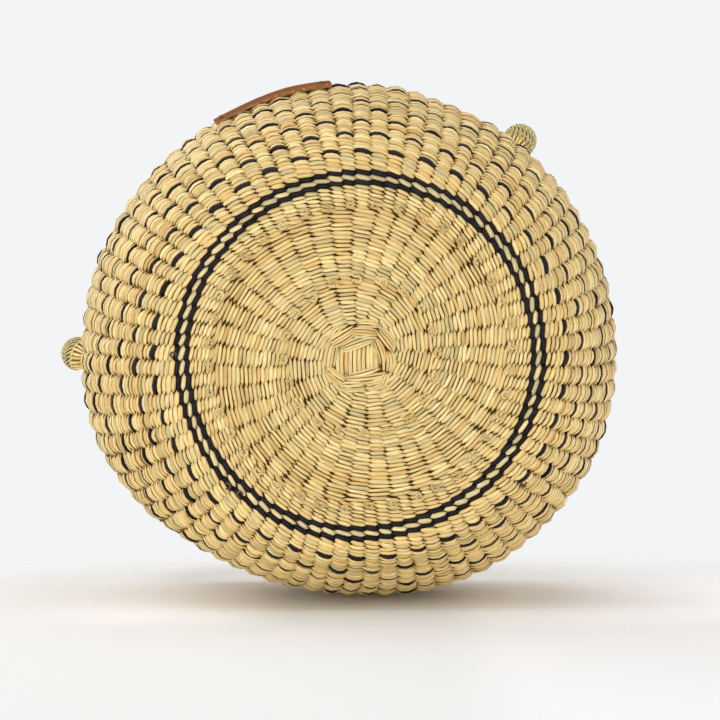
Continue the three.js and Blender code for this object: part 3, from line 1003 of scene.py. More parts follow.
@dataclass
class Weave:
    """The basket's body: every row of the base and wall on both faces, over the upright stalks."""

    form: BasketForm = FORM
    base_rows: tuple[tuple[str, float, float, int, int], ...] = (
        ("rib_fan", 22.2, 25.5, 20, 1),
        ("base_zone_20_ribs", 25.5, 50.3, 20, 9),
        ("base_zone_40_ribs", 50.3, 101.4, 40, 18),
        ("base_zone_80_ribs", 101.4, 118.17, 80, 6),
    )
    wall_shares: tuple[tuple[str, float], ...] = (
        ("wall_turn", 0.36), ("wall_lower", 0.7), ("wall_belly", 1.14), ("wall_upper", 1.44),
        ("wall_top", 9.0),
    )
    middle_tone: float = 0.92
    base_tone: float = 0.97
    dark_proud: float = 0.45 * MM
    dark_longer: float = 0.9 * MM
    wall_proud: float = 0.8 * MM
    dash_every: int = 5
    overlap: float = 1.4 * MM
    half_height: float = 1.25 * MM
    base_edge: float = 118 * MM
    least_lobe: float = 0.9 * MM
    wall_lobe: float = 0.15
    base_lobe: float = 0.03
    inner_lobe: float = 0.8
    tip_overlaps: float = 1.25
    mean_run: int = 11
    rib_drift: float = 0.07
    drift_length: float = 38 * MM
    row_wander: float = 0.42 * MM
    seed: int = 41
    dashes: dict[Face, StitchPoints] = field(
        default_factory=lambda: {face: StitchPoints() for face in Face})

    def bands(self) -> list[RowBand]:
        """Every band from the centre outwards.

        Returns:
            The bands.
        """
        form = self.form
        made = []
        for node, start, end, ribs, rows in self.base_rows:
            pitch = (end - start) * MM / rows
            lengths = tuple(start * MM + pitch * (row + 0.5) for row in range(rows))
            tones = STRAW_TONES.dimmed(self.middle_tone if ribs == 20 else self.base_tone)
            made.append(RowBand(node, lengths, ribs, pitch, tones))
        edge = self.base_rows[-1][2] * MM
        dark = {"tones": DYED_TONES, "finish": DYED_STRAW, "slot": Slot.DARK_STRAW, "fatness": 0.98,
                "proud": self.dark_proud, "longer": self.dark_longer}
        pale = {"tones": PALE_TONES, "finish": PALE_STRAW, "slot": Slot.PALE_STRAW, "fatness": 1.06}
        pitch = form.row_pitch
        looks = (("inner_dark_row", dark), ("pale_row", pale), ("outer_dark_row", dark))
        for i, (node, look) in enumerate(looks):
            made.append(RowBand(node, (edge + pitch * (i + 0.5),), form.ribs, pitch, **look))
        rows = int((form.length - form.base_radius) / pitch)
        pitch = (form.length - form.base_radius) / rows
        lengths = form.base_radius + pitch * (np.arange(rows) + 0.5)
        low = form.base_radius
        for node, share in self.wall_shares:
            height = share * form.belly_height
            high = form.length_at(height) if height < form.top_height else math.inf
            inside = [i for i in range(rows) if low <= lengths[i] < high]
            made.append(RowBand(
                node, tuple(float(lengths[i]) for i in inside), form.ribs, pitch, proud=self.wall_proud,
                dash_rows=tuple(i if i % self.dash_every == self.dash_every - 1 else -1 for i in inside),
            ))
            low = high
        return made

    def lobe(self, length: float, ribs: int) -> float:
        """How high a stitch arches at a running length: more on the wall, where the ribs stand apart."""
        span = TAU * self.form.radius_at(length) / ribs
        flat = float(np.clip(1 - (length - self.base_edge) / (30 * MM), 0, 1))
        return self.least_lobe + (self.wall_lobe - (self.wall_lobe - self.base_lobe) * flat) * span

    def shapes(self, band: RowBand) -> tuple[StitchShape, StitchShape]:
        """The outer and inner stitch for a band, whose tips stay as long however wide the ribs stand.

        Args:
            band: the band.

        Returns:
            Both shapes.
        """
        length = float(np.array(band.lengths).mean())
        half = math.pi * self.form.radius_at(length) / band.ribs
        shoulder = (half - self.tip_overlaps * self.overlap) / (half + self.overlap)
        depth = self.half_height / self.lobe(length, band.ribs)
        steps = 8 if band.node in ("wall_turn", "wall_lower", "wall_belly") else OUTER_STITCH.steps
        return (replace(OUTER_STITCH, steps=steps, shoulder=shoulder, depth=depth),
                replace(INNER_STITCH, shoulder=shoulder, depth=depth / self.inner_lobe))

    def stitches(self, band: RowBand, face: Face, draw: np.random.Generator) -> StitchPoints:
        """The stitches of a band on one face.

        Args:
            band: the band.
            face: which face.
            draw: the source of chance for the colours.

        Returns:
            The stitches, less the dark ones of a dash row, which go to self.dashes.
        """
        form = self.form
        ribs = np.arange(band.ribs)
        step = TAU / band.ribs
        stitches = len(band.lengths) * band.ribs // 2 + band.ribs
        strands = [band.tones.runs(draw, stitches, self.mean_run) for _ in (0, 1)]
        sway = np.random.default_rng(band.ribs + 5).normal(size=(4, band.ribs))
        made = StitchPoints()
        for row, length in enumerate(band.lengths):
            phase = length / self.drift_length
            drift = self.rib_drift * step * (sway[0] * math.cos(phase) + sway[1] * math.sin(phase))
            stand = step * ribs + drift
            edge = (stand + np.append(stand[1:], stand[0] + TAU)) / 2
            before = np.append(edge[-1] - TAU, edge[:-1])
            azimuth = (edge + before) / 2 + form.swirl(length)
            wander = self.row_wander * (wave_noise(azimuth, 3) * math.cos(phase * 0.7)
                                        + wave_noise(azimuth, 4) * math.sin(phase * 0.7))
            span = (edge - before) * form.radius_at(length)
            lobe = self.lobe(length, band.ribs) * (1 if face is Face.OUTER else self.inner_lobe)
            arch = lobe + self.half_height
            depth = arch - band.proud if face is Face.OUTER else form.thickness - arch
            settle = 0.12 * MM * sway[2] + 0.1 * MM * draw.normal(size=band.ribs)
            place, around, rise, _ = form.place(length + wander, azimuth, depth + np.abs(settle))
            size = np.stack(np.broadcast_arrays(
                span / 2 + self.overlap + band.longer,
                band.pitch / 2 * band.fatness * (1.06 + 0.03 * sway[3]), lobe), -1)
            turn = 0 if face is Face.OUTER else 1
            index = (row * band.ribs + ribs) // 2
            tint = np.where(((ribs + turn) % 2 == 0)[:, None], strands[0][index], strands[1][index])
            around = around * face.value
            dark = np.zeros(band.ribs, dtype=bool)
            if band.dash_rows and band.dash_rows[row] >= 0:
                dark = ribs % 2 == (band.dash_rows[row] // self.dash_every + turn) % 2
                thick = 1.0 + 0.3 * float(np.clip(1 - (length - 140 * MM) / (50 * MM), 0, 1))
                self.dashes[face].add(place[dark], around[dark], rise[dark], size[dark] * (1, thick, 1),
                                      DYED_TONES.pick(draw, int(dark.sum())))
            made.add(place[~dark], around[~dark], rise[~dark], size[~dark], tint[~dark])
        return made

    def build(self) -> None:
        """Builds the bands, the dashes and the upright stalks."""
        draw = np.random.default_rng(self.seed)
        for number, band in enumerate(self.bands()):
            for face, shape, seed in zip(Face, self.shapes(band), (self.seed, self.seed + 50)):
                name = f"{band.node}_{face.side}"
                mesh = self.stitches(band, face, draw).twine(name, shape, band.finish, seed + number)
                mesh_piece(name, mesh, Body.BASKET, (band.node,))
        for face, shape in zip(Face, (OUTER_STITCH, INNER_STITCH)):
            name = f"dark_dashes_{face.side}"
            shape = replace(shape, steps=shape.steps + 2, shoulder=0.55, depth=0.5)
            mesh = self.dashes[face].twine(name, shape, DYED_STRAW, self.seed + 90)
            mesh_piece(name, mesh, Body.BASKET)
        self.build_stalks()

    def build_stalks(self) -> None:
        """The flat stalks that the rows go round, side by side as one ribbed sheet inside the weave; their
        dark brown tone is painted shade where they show between the stitches.
        """
        form = self.form
        columns = form.ribs * 4
        lengths = np.concatenate([
            np.linspace(3 * MM, form.base_radius, 16),
            np.linspace(form.base_radius, form.length - 1 * MM, 44)[1:],
        ])
        length, azimuth = np.meshgrid(lengths, TAU * np.arange(columns) / columns, indexing="ij")
        round_stalk = np.abs(np.cos(azimuth * form.ribs / 2))
        leant = azimuth + form.swirl(length)
        layers = [form.place(length, leant, middle + swell * round_stalk)[0].reshape(-1, 3)
                  for middle, swell in ((2.95 * MM, -0.35 * MM), (3.15 * MM, 0.35 * MM))]
        inside = length.size
        faces = []
        for a, b, c, d in ring_quads(len(lengths), columns):
            faces.append([a, b, c, d])
            faces.append([inside + d, inside + c, inside + b, inside + a])
        for edge, flip in ((0, False), (inside - columns, True)):
            for j in range(columns):
                k = (j + 1) % columns
                quad = [edge + j, inside + edge + j, inside + edge + k, edge + k]
                faces.append(quad[::-1] if flip else quad)
        azimuth = azimuth.ravel()
        across = np.tile((azimuth * form.ribs / 2) % math.pi / math.pi * 2 - 1, 2)
        along = np.tile(length.ravel() / (8 * MM), 2)
        stalk = np.round(azimuth * form.ribs / TAU).astype(int) % form.ribs
        tint = CORE_SHADE_TONES.pick(np.random.default_rng(7), form.ribs)[stalk]
        mesh = new_mesh("upright_stalks", np.concatenate(layers), faces, CORE_STRAW.material,
                        strand=np.stack([along, np.full(len(across), 0.9), across], 1),
                        tint=np.tile(tint, (2, 1)), lot=np.zeros(len(across)))
        mesh_piece("upright_stalks", mesh, Body.BASKET, ("rib_fan",))


@dataclass(frozen=True)
class Bundle:
    """A few stalks side by side in the start knot, in millimetres on the underside as the knot faces you."""

    start: tuple[float, float]
    end: tuple[float, float]
    count: int
    spread: float
    bow: float = 0.0
    start_skew: float = 0.0
    end_skew: float = 0.0
    pinch: float = 0.35
    level: float = 0.0
    # Painted shade: the share of brightness that the bundle's tones keep; the deep filler under the block is
    # darkened with it.
    shade: float = 1.0


@dataclass
class StartKnot:
    """The crossed bundles of stalks that the base starts from, as a pinwheel round a block."""

    middle_depth: float = 0.7 * MM
    stalk_height: float = 1.4 * MM
    end_dive: float = 2.4
    bundles: tuple[Bundle, ...] = (
        # A filler laid deep under the others, darkened as painted shade between the bundles.
        Bundle((-20.5, -2.6), (18.5, -0.6), 10, 34, 0.4, pinch=0.1, level=1.9, shade=0.4),
        Bundle((-2.0, -13.2), (-2.0, 7.6), 10, 29.5, 0.6, 2.8, 2.0, 0.0, 0.1),
        Bundle((-15.2, 3.6), (10.2, 12.6), 4, 8.6, 0.9, pinch=0.55, level=-0.3),
        Bundle((-6.5, 16.6), (12.6, 15.0), 4, 8.4, 0.4, pinch=0.35),
        Bundle((-22.5, 7.4), (-3.6, 19.0), 4, 8.4, -0.6, pinch=0.3, level=0.3),
        Bundle((8.6, 12.6), (14.8, -6.4), 4, 8.4, 1.2, pinch=0.4, level=-0.1),
        Bundle((12.6, 18.6), (23.6, 4.4), 4, 8.4, 0.8, pinch=0.3, level=0.2),
        Bundle((18.4, 3.6), (18.8, -11.4), 4, 9.4, 1.4, pinch=0.35, level=0.2),
        Bundle((-7.6, -13.4), (13.8, -7.4), 2, 4.6, -0.5, pinch=0.3, level=-0.35),
        Bundle((-11.8, -16.2), (20.0, -12.4), 3, 7.0, -1.6, pinch=0.45, level=-0.1),
        Bundle((-24.6, -7.6), (-10.6, -18.6), 4, 9.0, -0.9, pinch=0.3, level=0.1),
        Bundle((-18.6, 8.6), (-21.6, -8.4), 4, 9.8, -0.8, pinch=0.3, level=0.1),
        Bundle((-14.4, -21.0), (3.8, -20.2), 4, 8.0, -0.8, pinch=0.3, level=0.25),
        Bundle((3.6, -21.8), (18.4, -15.8), 4, 8.4, -0.6, pinch=0.3, level=0.2),
        Bundle((-3.0, 22.6), (13.4, 21.6), 3, 6.0, 0.8, pinch=0.3, level=0.45),
        Bundle((18.4, -10.4), (13.4, -21.6), 3, 6.0, 0.8, pinch=0.3, level=0.55),
        Bundle((-22.0, 12.4), (-12.6, 21.4), 3, 6.0, 0.8, pinch=0.3, level=0.5),
    )

    def build(self) -> None:
        """Lays the bundles on the underside, and again on the face inside the basket."""
        strands = Strands(17)
        for top, floor in ((-UP, 0.0), (UP, FORM.thickness)):
            for bundle in self.bundles:
                self.lay(strands, bundle, top, floor)
        mesh = strands.mesh("start_knot_stalks", STRAW)
        mesh_piece("start_knot_stalks", mesh, Body.BASKET, ("start_knot",))

    def lay(self, strands: Strands, bundle: Bundle, top: np.ndarray, floor: float) -> None:
        """Lays one bundle.

        Args:
            strands: the mesh that it joins.
            bundle: the bundle.
            top: the way that the face looks.
            floor: the height of the face.
        """
        start, end = np.array(bundle.start), np.array(bundle.end)
        way = unit(end - start)
        side = np.array([-way[1], way[0]])
        travel = np.linspace(-1, 1, 11)
        tones = STRAW_TONES.pick(strands.draw, bundle.count)
        for i in range(bundle.count):
            share = 2 * (i + 0.5) / bundle.count - 1
            offset = share * bundle.spread / 2 + strands.draw.normal() * 0.2
            first = start + way * (-share * bundle.start_skew + strands.draw.normal() * 0.5)
            last = end + way * (-share * bundle.end_skew + strands.draw.normal() * 0.5)
            flat = first + (last - first) * (travel[:, None] + 1) / 2
            gather = 1 - bundle.pinch * travel ** 2
            flat = flat + side * (offset * gather + bundle.bow * (1 - travel ** 2))[:, None]
            sunk = bundle.level * 0.8 + 0.14 * abs(strands.draw.normal())
            depth = self.middle_depth + (sunk + self.end_dive * np.abs(travel) ** 3.2) * MM
            path = (flat[:, :1] * KNOT_RIGHT + flat[:, 1:] * KNOT_UP) * MM
            path[:, 2] = floor - top[2] * depth
            taper = np.clip(1.25 - np.abs(travel) ** 5, 0.35, 1)
            half = bundle.spread / bundle.count / 2 * strands.draw.uniform(0.98, 1.1) * MM
            strands.add(path, half * gather * taper, self.stalk_height * taper, top, tones[i] * bundle.shade,
                        shaded_ends=False)


@dataclass
class TipCurls:
    """The curled ends of ribs that were added, at the start of each zone, and of a few spliced strands."""

    loop_radius: float = 2.2 * MM
    strand_radius: float = 0.85 * MM
    steps: int = 15
    zones: tuple[tuple[float, int], ...] = ((53.4, 20), (105.2, 40))
    splices: tuple[tuple[float, float], ...] = (
        (128.4, 161.8), (127.1, 157.2), (129.0, -153.5), (147.0, 64.0),
    )

    def build(self) -> None:
        """Sets each curl on the outer face."""
        strands = Strands(23)
        draw = strands.draw
        for length, count in self.zones:
            for i in range(count):
                azimuth = TAU * (i + 0.5) / count + DEGREE * draw.normal() * 0.5
                tint = STRAW_TONES.pick(draw, 1)[0] * 0.86
                spot = (length + draw.normal() * 0.8) * MM
                self.curl(strands, spot, azimuth, 0.8 + 0.35 * draw.random(), tint)
        for length, degrees in self.splices:
            self.curl(strands, length * MM, degrees * DEGREE, 0.9, GOLDEN_TONES.pick(draw, 1)[0] * 0.07)
        mesh_piece("curled_tips", strands.mesh("curled_tips", GOLDEN_STRAW), Body.BASKET)

    def curl(self, strands: Strands, length: float, azimuth: float, scale: float, tint: np.ndarray) -> None:
        """One curl: a loop that lies on the stitches, with a tail that runs out between them.

        Args:
            strands: the mesh that it joins.
            length: the running length where it lies.
            azimuth: the angle round the basket.
            scale: its size against the usual one.
            tint: its colour.
        """
        azimuth = azimuth + FORM.swirl(length)
        place, around, rise, outward = FORM.place(np.array(length), np.array(azimuth), 0.45 * MM)
        turn = strands.draw.uniform(0, TAU) + np.linspace(0, 1.75 * math.pi, self.steps)
        radius = self.loop_radius * scale * np.linspace(1.15, 0.8, self.steps)
        lift = (0.2 + 0.5 * np.sin(np.linspace(0, math.pi, self.steps))) * MM
        out, _ = turned(turn, around, rise)
        taper = np.clip(np.sin(np.linspace(0.15, math.pi - 0.15, self.steps)) * 1.6, 0.35, 1)
        thick = self.strand_radius * scale * taper
        path = place + radius[:, None] * out + lift[:, None] * outward
        strands.add(path, thick * 1.15, thick, outward, tint, sides=6)


@dataclass
class RimBraid:
    """The plaited edge: strands that cross the top slantwise and meet in a row of chevrons."""

    width: float = 13 * MM
    thickness: float = 10 * MM
    seat: float = 4.92 * MM
    strands: int = 156
    lean: float = 9 * MM
    steps: int = 13
    ring_steps: int = 161
    half_strand: float = 1.15 * MM

    def build(self) -> None:
        """Builds the plait over its core."""
        made = Strands(31)
        form = FORM
        middle = form.thickness / 2
        radius = form.top_radius - middle
        ring = np.linspace(0, TAU, self.ring_steps)
        place, _, rise, outward = form.place(np.full(self.ring_steps, form.length), ring, middle)
        # The core's dark tone is painted shade where it shows between the braid's strands.
        made.add(place + rise * self.seat, self.thickness * 0.36, self.width * 0.38, outward,
                 CORE_SHADE_TONES.pick(made.draw, 1)[0], sides=10)
        turn = np.linspace(-62 * DEGREE, 242 * DEGREE, self.steps)
        tones = STRAW_TONES.runs(made.draw, self.strands, 3)
        crest = np.clip(1 - np.abs(turn - math.pi / 2) / (150 * DEGREE), 0, 1)
        tuck = np.clip(np.minimum(np.arange(self.steps), np.arange(self.steps)[::-1]) / 1.5, 0, 1)
        reach = (self.width / 2 - self.half_strand) * (0.82 + 0.18 * tuck)
        lift = (self.thickness / 2 - self.half_strand) * (0.82 + 0.18 * tuck)
        half = math.pi * radius / self.strands * 0.98 * (0.55 + 0.45 * tuck)
        for i in range(self.strands):
            azimuth = TAU * i / self.strands + self.lean / radius * crest + made.draw.normal() * 0.0012
            place, _, rise, outward = form.place(np.full(self.steps, form.length), azimuth, middle)
            path = (place + rise * (self.seat + lift * np.sin(turn))[:, None]
                    + outward * (reach * np.cos(turn))[:, None])
            top, _ = turned(turn, outward, rise)
            made.add(path, half, self.half_strand, top, tones[i], sides=6)
        mesh_piece("rim_braid", made.mesh("rim_braid", STRAW), Body.BASKET, ("rim_binding",))


@dataclass
class CarryHandle:
    """One arched handle: stalks in a twined wrap, bound ends that turn, and the roots that carry them."""

    name: str
    body: Body
    middle_azimuth: float
    stand_off: float
    grip_radius: float = 12.5 * MM
    knuckle_radius: float = 13.25 * MM
    ball_radius: float = 9.5 * MM
    hinge_height: float = 228 * MM
    half_turn: float = 67.5 * DEGREE
    leg: float = 26 * MM
    rise: float = 150 * MM
    seat: float = 14.3 * MM
    stub_start: float = 4.5 * MM
    neck_start: float = 13.5 * MM
    round_count: int = 14
    ring_pitch: float = 2.8 * MM
    core_radius: float = 10.2 * MM
    core_ring: float = 6.4 * MM
    core_stalk: tuple[float, float] = (3.4 * MM, 3.2 * MM)
    core_stalks: int = 7
    grip_lobe: float = 0.75 * MM
    cap_lobe: float = 0.7 * MM
    sunk_lobes: float = 1.58
    lean: float = 7 * MM
    top_lean: float = 2 * MM
    lean_rise: float = 45 * MM
    lean_back_start: float = 60 * MM
    lean_back_rise: float = 112 * MM
    slimming: float = 0.15
    slim_length: float = 70 * MM
    cap_rise: float = 30 * DEGREE
    left_cap_turn: float = 20 * DEGREE
    left_lip: float = 103 * DEGREE
    right_lip: float = 103 * DEGREE
    cap_row_turn: float = 9.4 * DEGREE
    cap_stitch: float = 3.8 * MM
    fingers: int = 20
    finger_ring: float = 11.6 * MM
    finger_width: tuple[float, float] = (1.4 * MM, 1.8 * MM)
    finger_stray: float = 0.16
    finger_tone: tuple[float, float, float] = (1.32, 1.42, 1.5)
    ball_stalks: int = 11
    stub_rows: int = 3
    shift_in: float = 0.0
    seed: int = 61

    @cached_property
    def feet(self) -> tuple[np.ndarray, np.ndarray]:
        """The two knuckles' middles, right and left."""
        made = []
        for azimuth in (self.middle_azimuth + self.half_turn, self.middle_azimuth - self.half_turn):
            radius = float(FORM.skin(self.hinge_height, azimuth)) + self.stand_off
            made.append(np.array([radius * math.cos(azimuth), radius * math.sin(azimuth), self.hinge_height]))
        inward = -np.array([math.cos(self.middle_azimuth), math.sin(self.middle_azimuth), 0.0])
        return made[0] + inward * self.shift_in, made[1] + inward * self.shift_in

    @cached_property
    def axes(self) -> tuple[np.ndarray, np.ndarray, np.ndarray]:
        """The handle's own directions: along the hinge, inwards over the basket, and up."""
        along = unit(self.feet[0] - self.feet[1])
        return along, np.cross(UP, along), UP

    @property
    def half_span(self) -> float:
        """Half the distance between the knuckles."""
        return float(np.linalg.norm(self.feet[0] - self.feet[1])) / 2

    @property
    def stub_radius(self) -> float:
        """The grip's radius at its feet."""
        return self.grip_radius * (1 - self.slimming)

    def world(self, x: object, y: object, z: object) -> np.ndarray:
        """Points in place, from the handle's own directions and the middle of its hinge.

        Args:
            x: along the hinge.
            y: inwards.
            z: up.

        Returns:
            The points.
        """
        x, y, z = np.broadcast_arrays(x, y, z)
        along, inward, up = self.axes
        middle = (self.feet[0] + self.feet[1]) / 2
        return middle + x[..., None] * along + y[..., None] * inward + z[..., None] * up

    @cached_property
    def grip_line(self) -> tuple[np.ndarray, np.ndarray]:
        """Running lengths and (x, z) points of the grip's middle line, from its right foot to its left."""
        turn = np.linspace(0, math.pi, 181)
        arch = np.stack([self.half_span * np.cos(turn), self.seat + self.leg + self.rise * np.sin(turn)], 1)
        line = np.concatenate([[[self.half_span, self.seat]], arch, [[-self.half_span, self.seat]]])
        return running_lengths(line), line

    def leaned(self, height: np.ndarray) -> np.ndarray:
        """How far the grip leans in over the basket at a height above the hinge.

        It leans most just above its feet, and eases back at the top, so that both handles clear each other
        when they swing together over the mouth.

        Args:
            height: the height above the hinge.

        Returns:
            The shift inwards.
        """
        height = height - self.seat
        return (self.lean * eased(height / self.lean_rise)
                - (self.lean - self.top_lean) * eased((height - self.lean_back_start) / self.lean_back_rise))

    def girth(self, lengths: np.ndarray) -> np.ndarray:
        """The grip's thickness against its full one at running lengths: it slims towards its feet."""
        from_foot = np.minimum(lengths, self.grip_line[0][-1] - lengths)
        return 1 - self.slimming * (1 - eased(from_foot / self.slim_length))

    def build(self) -> None:
        """Builds the wrap, the core, both bound ends and both roots."""
        self.build_wrap()
        self.build_core()
        for side_name, side, foot in (("right", 1, self.feet[0]), ("left", -1, self.feet[1])):
            self.build_knuckle(side_name, side, foot)
            self.build_root(side_name, side)

    def build_wrap(self) -> None:
        """The twined wrap round the grip."""
        lengths, line = self.grip_line
        rings = int(lengths[-1] / self.ring_pitch)
        pitch = lengths[-1] / rings
        draw = np.random.default_rng(self.seed)
        points = StitchPoints()
        rows = pitch * (np.arange(rings) + 0.5)
        spots = read_between(rows, lengths, line)
        ways = unit(read_between(rows, lengths, np.gradient(line, lengths, axis=0)))
        x_axis, inward, up = self.axes
        count = self.round_count
        strands = GREEN_TONES.runs(draw, rings * count, 9)
        radius = self.grip_radius * self.girth(rows)
        for ring in range(rings):
            turn = TAU * (np.arange(count) + 0.62 * ring) / count
            way = ways[ring, 0] * x_axis + ways[ring, 1] * up
            out, around = turned(turn, np.cross(inward, way), inward)
            middle = self.world(spots[ring, 0], self.leaned(spots[ring, 1]), spots[ring, 1])
            place = middle + out * (radius[ring] - self.sunk_lobes * self.grip_lobe)
            size = np.broadcast_to(
                (math.pi * radius[ring] / count * 1.12, pitch / 2 * 1.14, self.grip_lobe), place.shape)
            points.add(place, around, np.broadcast_to(way, place.shape), size,
                       strands[ring * count:(ring + 1) * count])
        name = f"{self.name}_twined_wrap"
        mesh_piece(name, points.twine(name, WRAP_STITCH, GREEN_STRAW, self.seed), self.body,
                   (f"{self.name}_grip_wrap",))

    def build_core(self) -> None:
        """The thick stalks inside the wrap, round a solid middle whose dark tone is painted shade between the
        wrap's stitches.
        """
        lengths, line = self.grip_line
        rows = np.linspace(0.4 * MM, lengths[-1] - 0.4 * MM, 90)
        spots = read_between(rows, lengths, line)
        inward = self.axes[1]
        middle = self.world(spots[:, 0], self.leaned(spots[:, 1]), spots[:, 1])
        girth = self.girth(rows)
        side = np.cross(inward, unit(np.gradient(middle, axis=0)))
        strands = Strands(self.seed + 1)
        tones = GOLDEN_TONES.pick(strands.draw, 8)
        thick = self.core_radius * girth
        strands.add(middle, thick, thick, side, CORE_SHADE_TONES.pick(strands.draw, 1)[0], sides=12)
        wide, high = self.core_stalk
        for i in range(self.core_stalks):
            out, _ = turned(TAU * i / self.core_stalks + rows / (90 * MM), side, inward)
            path = middle + out * (self.core_ring * girth)[:, None]
            strands.add(path, wide * girth, high * girth, out, tones[i])
        name = f"{self.name}_core_stalks"
        mesh_piece(name, strands.mesh(name, GOLDEN_STRAW), self.body,
                   (f"{self.name}_grip_core",))

    def build_knuckle(self, side_name: str, side: int, foot: np.ndarray) -> None:
        """A bound end: a ball and stub of stalks under a twined cap.

        Args:
            side_name: right or left.
            side: 1 on the right, -1 on the left.
            foot: its middle.
        """
        axis = self.axes[0] * side
        _, inward, up = self.axes
        tilt = math.pi / 2 - self.half_turn + (self.left_cap_turn if side < 0 else 0)
        flat = axis * math.cos(tilt) - inward * math.sin(tilt)
        cap = flat * math.cos(self.cap_rise) + up * math.sin(self.cap_rise)
        level = unit(np.cross(up, cap))
        name = f"{self.name}_{side_name}_bound_end"
        cover = self.knuckle_cover(side, foot, cap, level).twine(
            name + "_cover", WRAP_STITCH, GREEN_STRAW, self.seed + 3)
        stalks = self.knuckle_stalks(side, foot, cap, level).mesh(name + "_stalks", GREEN_STRAW)
        mesh_piece(name, joined(name, [cover, stalks]), self.body,
                   (f"{self.name}_{side_name}_knuckle",))

    def knuckle_cover(self, side: int, foot: np.ndarray, cap: np.ndarray, level: np.ndarray) -> StitchPoints:
        """The twined rows of a bound end: its cap from the lip to the middle, and its stub under the grip.

        Args:
            side: 1 on the right, -1 on the left.
            foot: the knuckle's middle.
            cap: the way that the cap looks.
            level: a level direction across the cap.

        Returns:
            The stitches.
        """
        points = StitchPoints()
        draw = np.random.default_rng(self.seed + 7 + side)
        lobe = self.cap_lobe
        lip = self.right_lip if side > 0 else self.left_lip
        rows = round(lip / self.cap_row_turn)
        tall = lip * self.knuckle_radius / rows / 2 * 1.2
        for row in range(rows):
            polar = lip * (rows - row - 0.35) / rows
            radius = self.knuckle_radius * math.sin(polar)
            count = max(5, round(TAU * radius / self.cap_stitch))
            flat, around = turned(TAU * (np.arange(count) + 0.5 * row) / count, level, np.cross(cap, level))
            out = math.cos(polar) * cap + math.sin(polar) * flat
            place = foot + out * (self.knuckle_radius - 1.6 * lobe)
            size = np.broadcast_to((math.pi * radius / count * 1.15, tall, lobe), out.shape)
            points.add(place, around, np.cross(out, around), size, GREEN_TONES.runs(draw, count, 5))
        along, inward, up = self.axes
        count = self.round_count
        for row in range(self.stub_rows):
            share = (row + 0.5) / self.stub_rows
            height = self.stub_start + share * (self.seat - 0.3 * MM - self.stub_start)
            out, around = turned(TAU * (np.arange(count) + 0.5 * row) / count, along, inward)
            place = foot + up * height + out * (self.stub_radius - self.sunk_lobes * lobe)
            size = np.broadcast_to((math.pi * self.stub_radius / count * 1.12, 1.85 * MM, lobe), out.shape)
            points.add(place, around, np.cross(out, around), size, GREEN_TONES.runs(draw, count, 5))
        return points

    def knuckle_stalks(self, side: int, foot: np.ndarray, cap: np.ndarray, level: np.ndarray) -> Strands:
        """The stalks of a bound end: round its ball, as fingers from under the cap, and its solid cores,
        whose darkened green is painted shade where they show between stitches.

        Args:
            side: 1 on the right, -1 on the left.
            foot: the knuckle's middle.
            cap: the way that the cap looks.
            level: a level direction across the cap.

        Returns:
            The stalks.
        """
        along, inward, up = self.axes
        axis = along * side
        stalks = Strands(self.seed + 9 + side)
        draw = stalks.draw
        green = GREEN_TONES.pick(draw, 3)
        golden = GOLDEN_TONES.pick(draw, self.ball_stalks)
        polar = np.linspace(12, 96, 9) * DEGREE
        for i in range(self.ball_stalks):
            turn = TAU * i / self.ball_stalks + np.linspace(0, 0.9, 9)
            flat, _ = turned(turn, inward, np.cross(axis, inward))
            out = -np.cos(polar)[:, None] * axis + np.sin(polar)[:, None] * flat
            wide = (0.7 + 2.1 * np.sin(polar)) * MM
            stalks.add(foot + out * (self.ball_radius - 1.2 * MM), wide, 1.15 * MM, out, golden[i])
        tones = GOLDEN_TONES.pick(draw, self.fingers)
        for i in range(self.fingers):
            polar = np.linspace(94, 166 - 12 * draw.random(), 10) * DEGREE
            stray = self.finger_stray * draw.normal(size=2)
            turn = TAU * (i + stray[0]) / self.fingers + np.linspace(0, stray[1], 10)
            flat, _ = turned(turn, level, np.cross(cap, level))
            out = np.cos(polar)[:, None] * cap + np.sin(polar)[:, None] * flat
            wide = draw.uniform(*self.finger_width) * np.sin(polar) ** 0.8
            high = draw.uniform(1.1, 1.5) * MM
            stalks.add(foot + out * self.finger_ring, wide, high, out, tones[i] * self.finger_tone)
        # Painted shade: the solid cores under the ball, the cap and the stub are darkened green (the cap's
        # most), where they show between stitches.
        for radius, start, colour, way in ((self.ball_radius - 1 * MM, -0.999, green[0] * 0.8, axis),
                                           (11.4 * MM, -0.7, green[1] * 0.22, cap)):
            reach = np.sin(np.linspace(math.asin(start), math.asin(0.999), 13))
            wide = radius * np.sqrt(1 - reach ** 2)
            stalks.add(foot + way * (reach * radius)[:, None], wide, wide, up, colour, sides=16)
        low, high = self.stub_start, self.seat - 0.3 * MM
        heights = np.array([low, low + 0.2 * MM, high - 0.2 * MM, high])
        wide = (self.stub_radius - 1.3 * self.cap_lobe) * np.array([0.96, 1, 1, 0.96])
        stalks.add(foot + up * heights[:, None], wide, wide, inward, green[2] * 0.6, sides=16)
        return stalks

    def inside_wall(self, place: np.ndarray) -> bool:
        """Whether a point lies in the weave."""
        azimuth = math.atan2(place[1], place[0])
        return math.hypot(place[0], place[1]) < float(FORM.skin(place[2], azimuth)) - 1.2 * MM

    def build_root(self, side_name: str, side: int) -> None:
        """The stalks that come out of the wall as a neck and cradle the bound end from below.

        Args:
            side_name: right or left.
            side: 1 on the right, -1 on the left.
        """
        strands = Strands(self.seed + 21 + side)
        draw = strands.draw

        def at(reach: np.ndarray, radius: object, turn: object) -> np.ndarray:
            """Points at a reach from the bound end towards the wall, a radius and a turn about the hinge."""
            sweep = 5 * MM * np.clip((reach - self.neck_start) / (14 * MM), 0, 1.2) ** 2
            return self.world(side * (self.half_span - reach), sweep - np.sin(turn) * radius,
                              np.cos(turn) * radius)

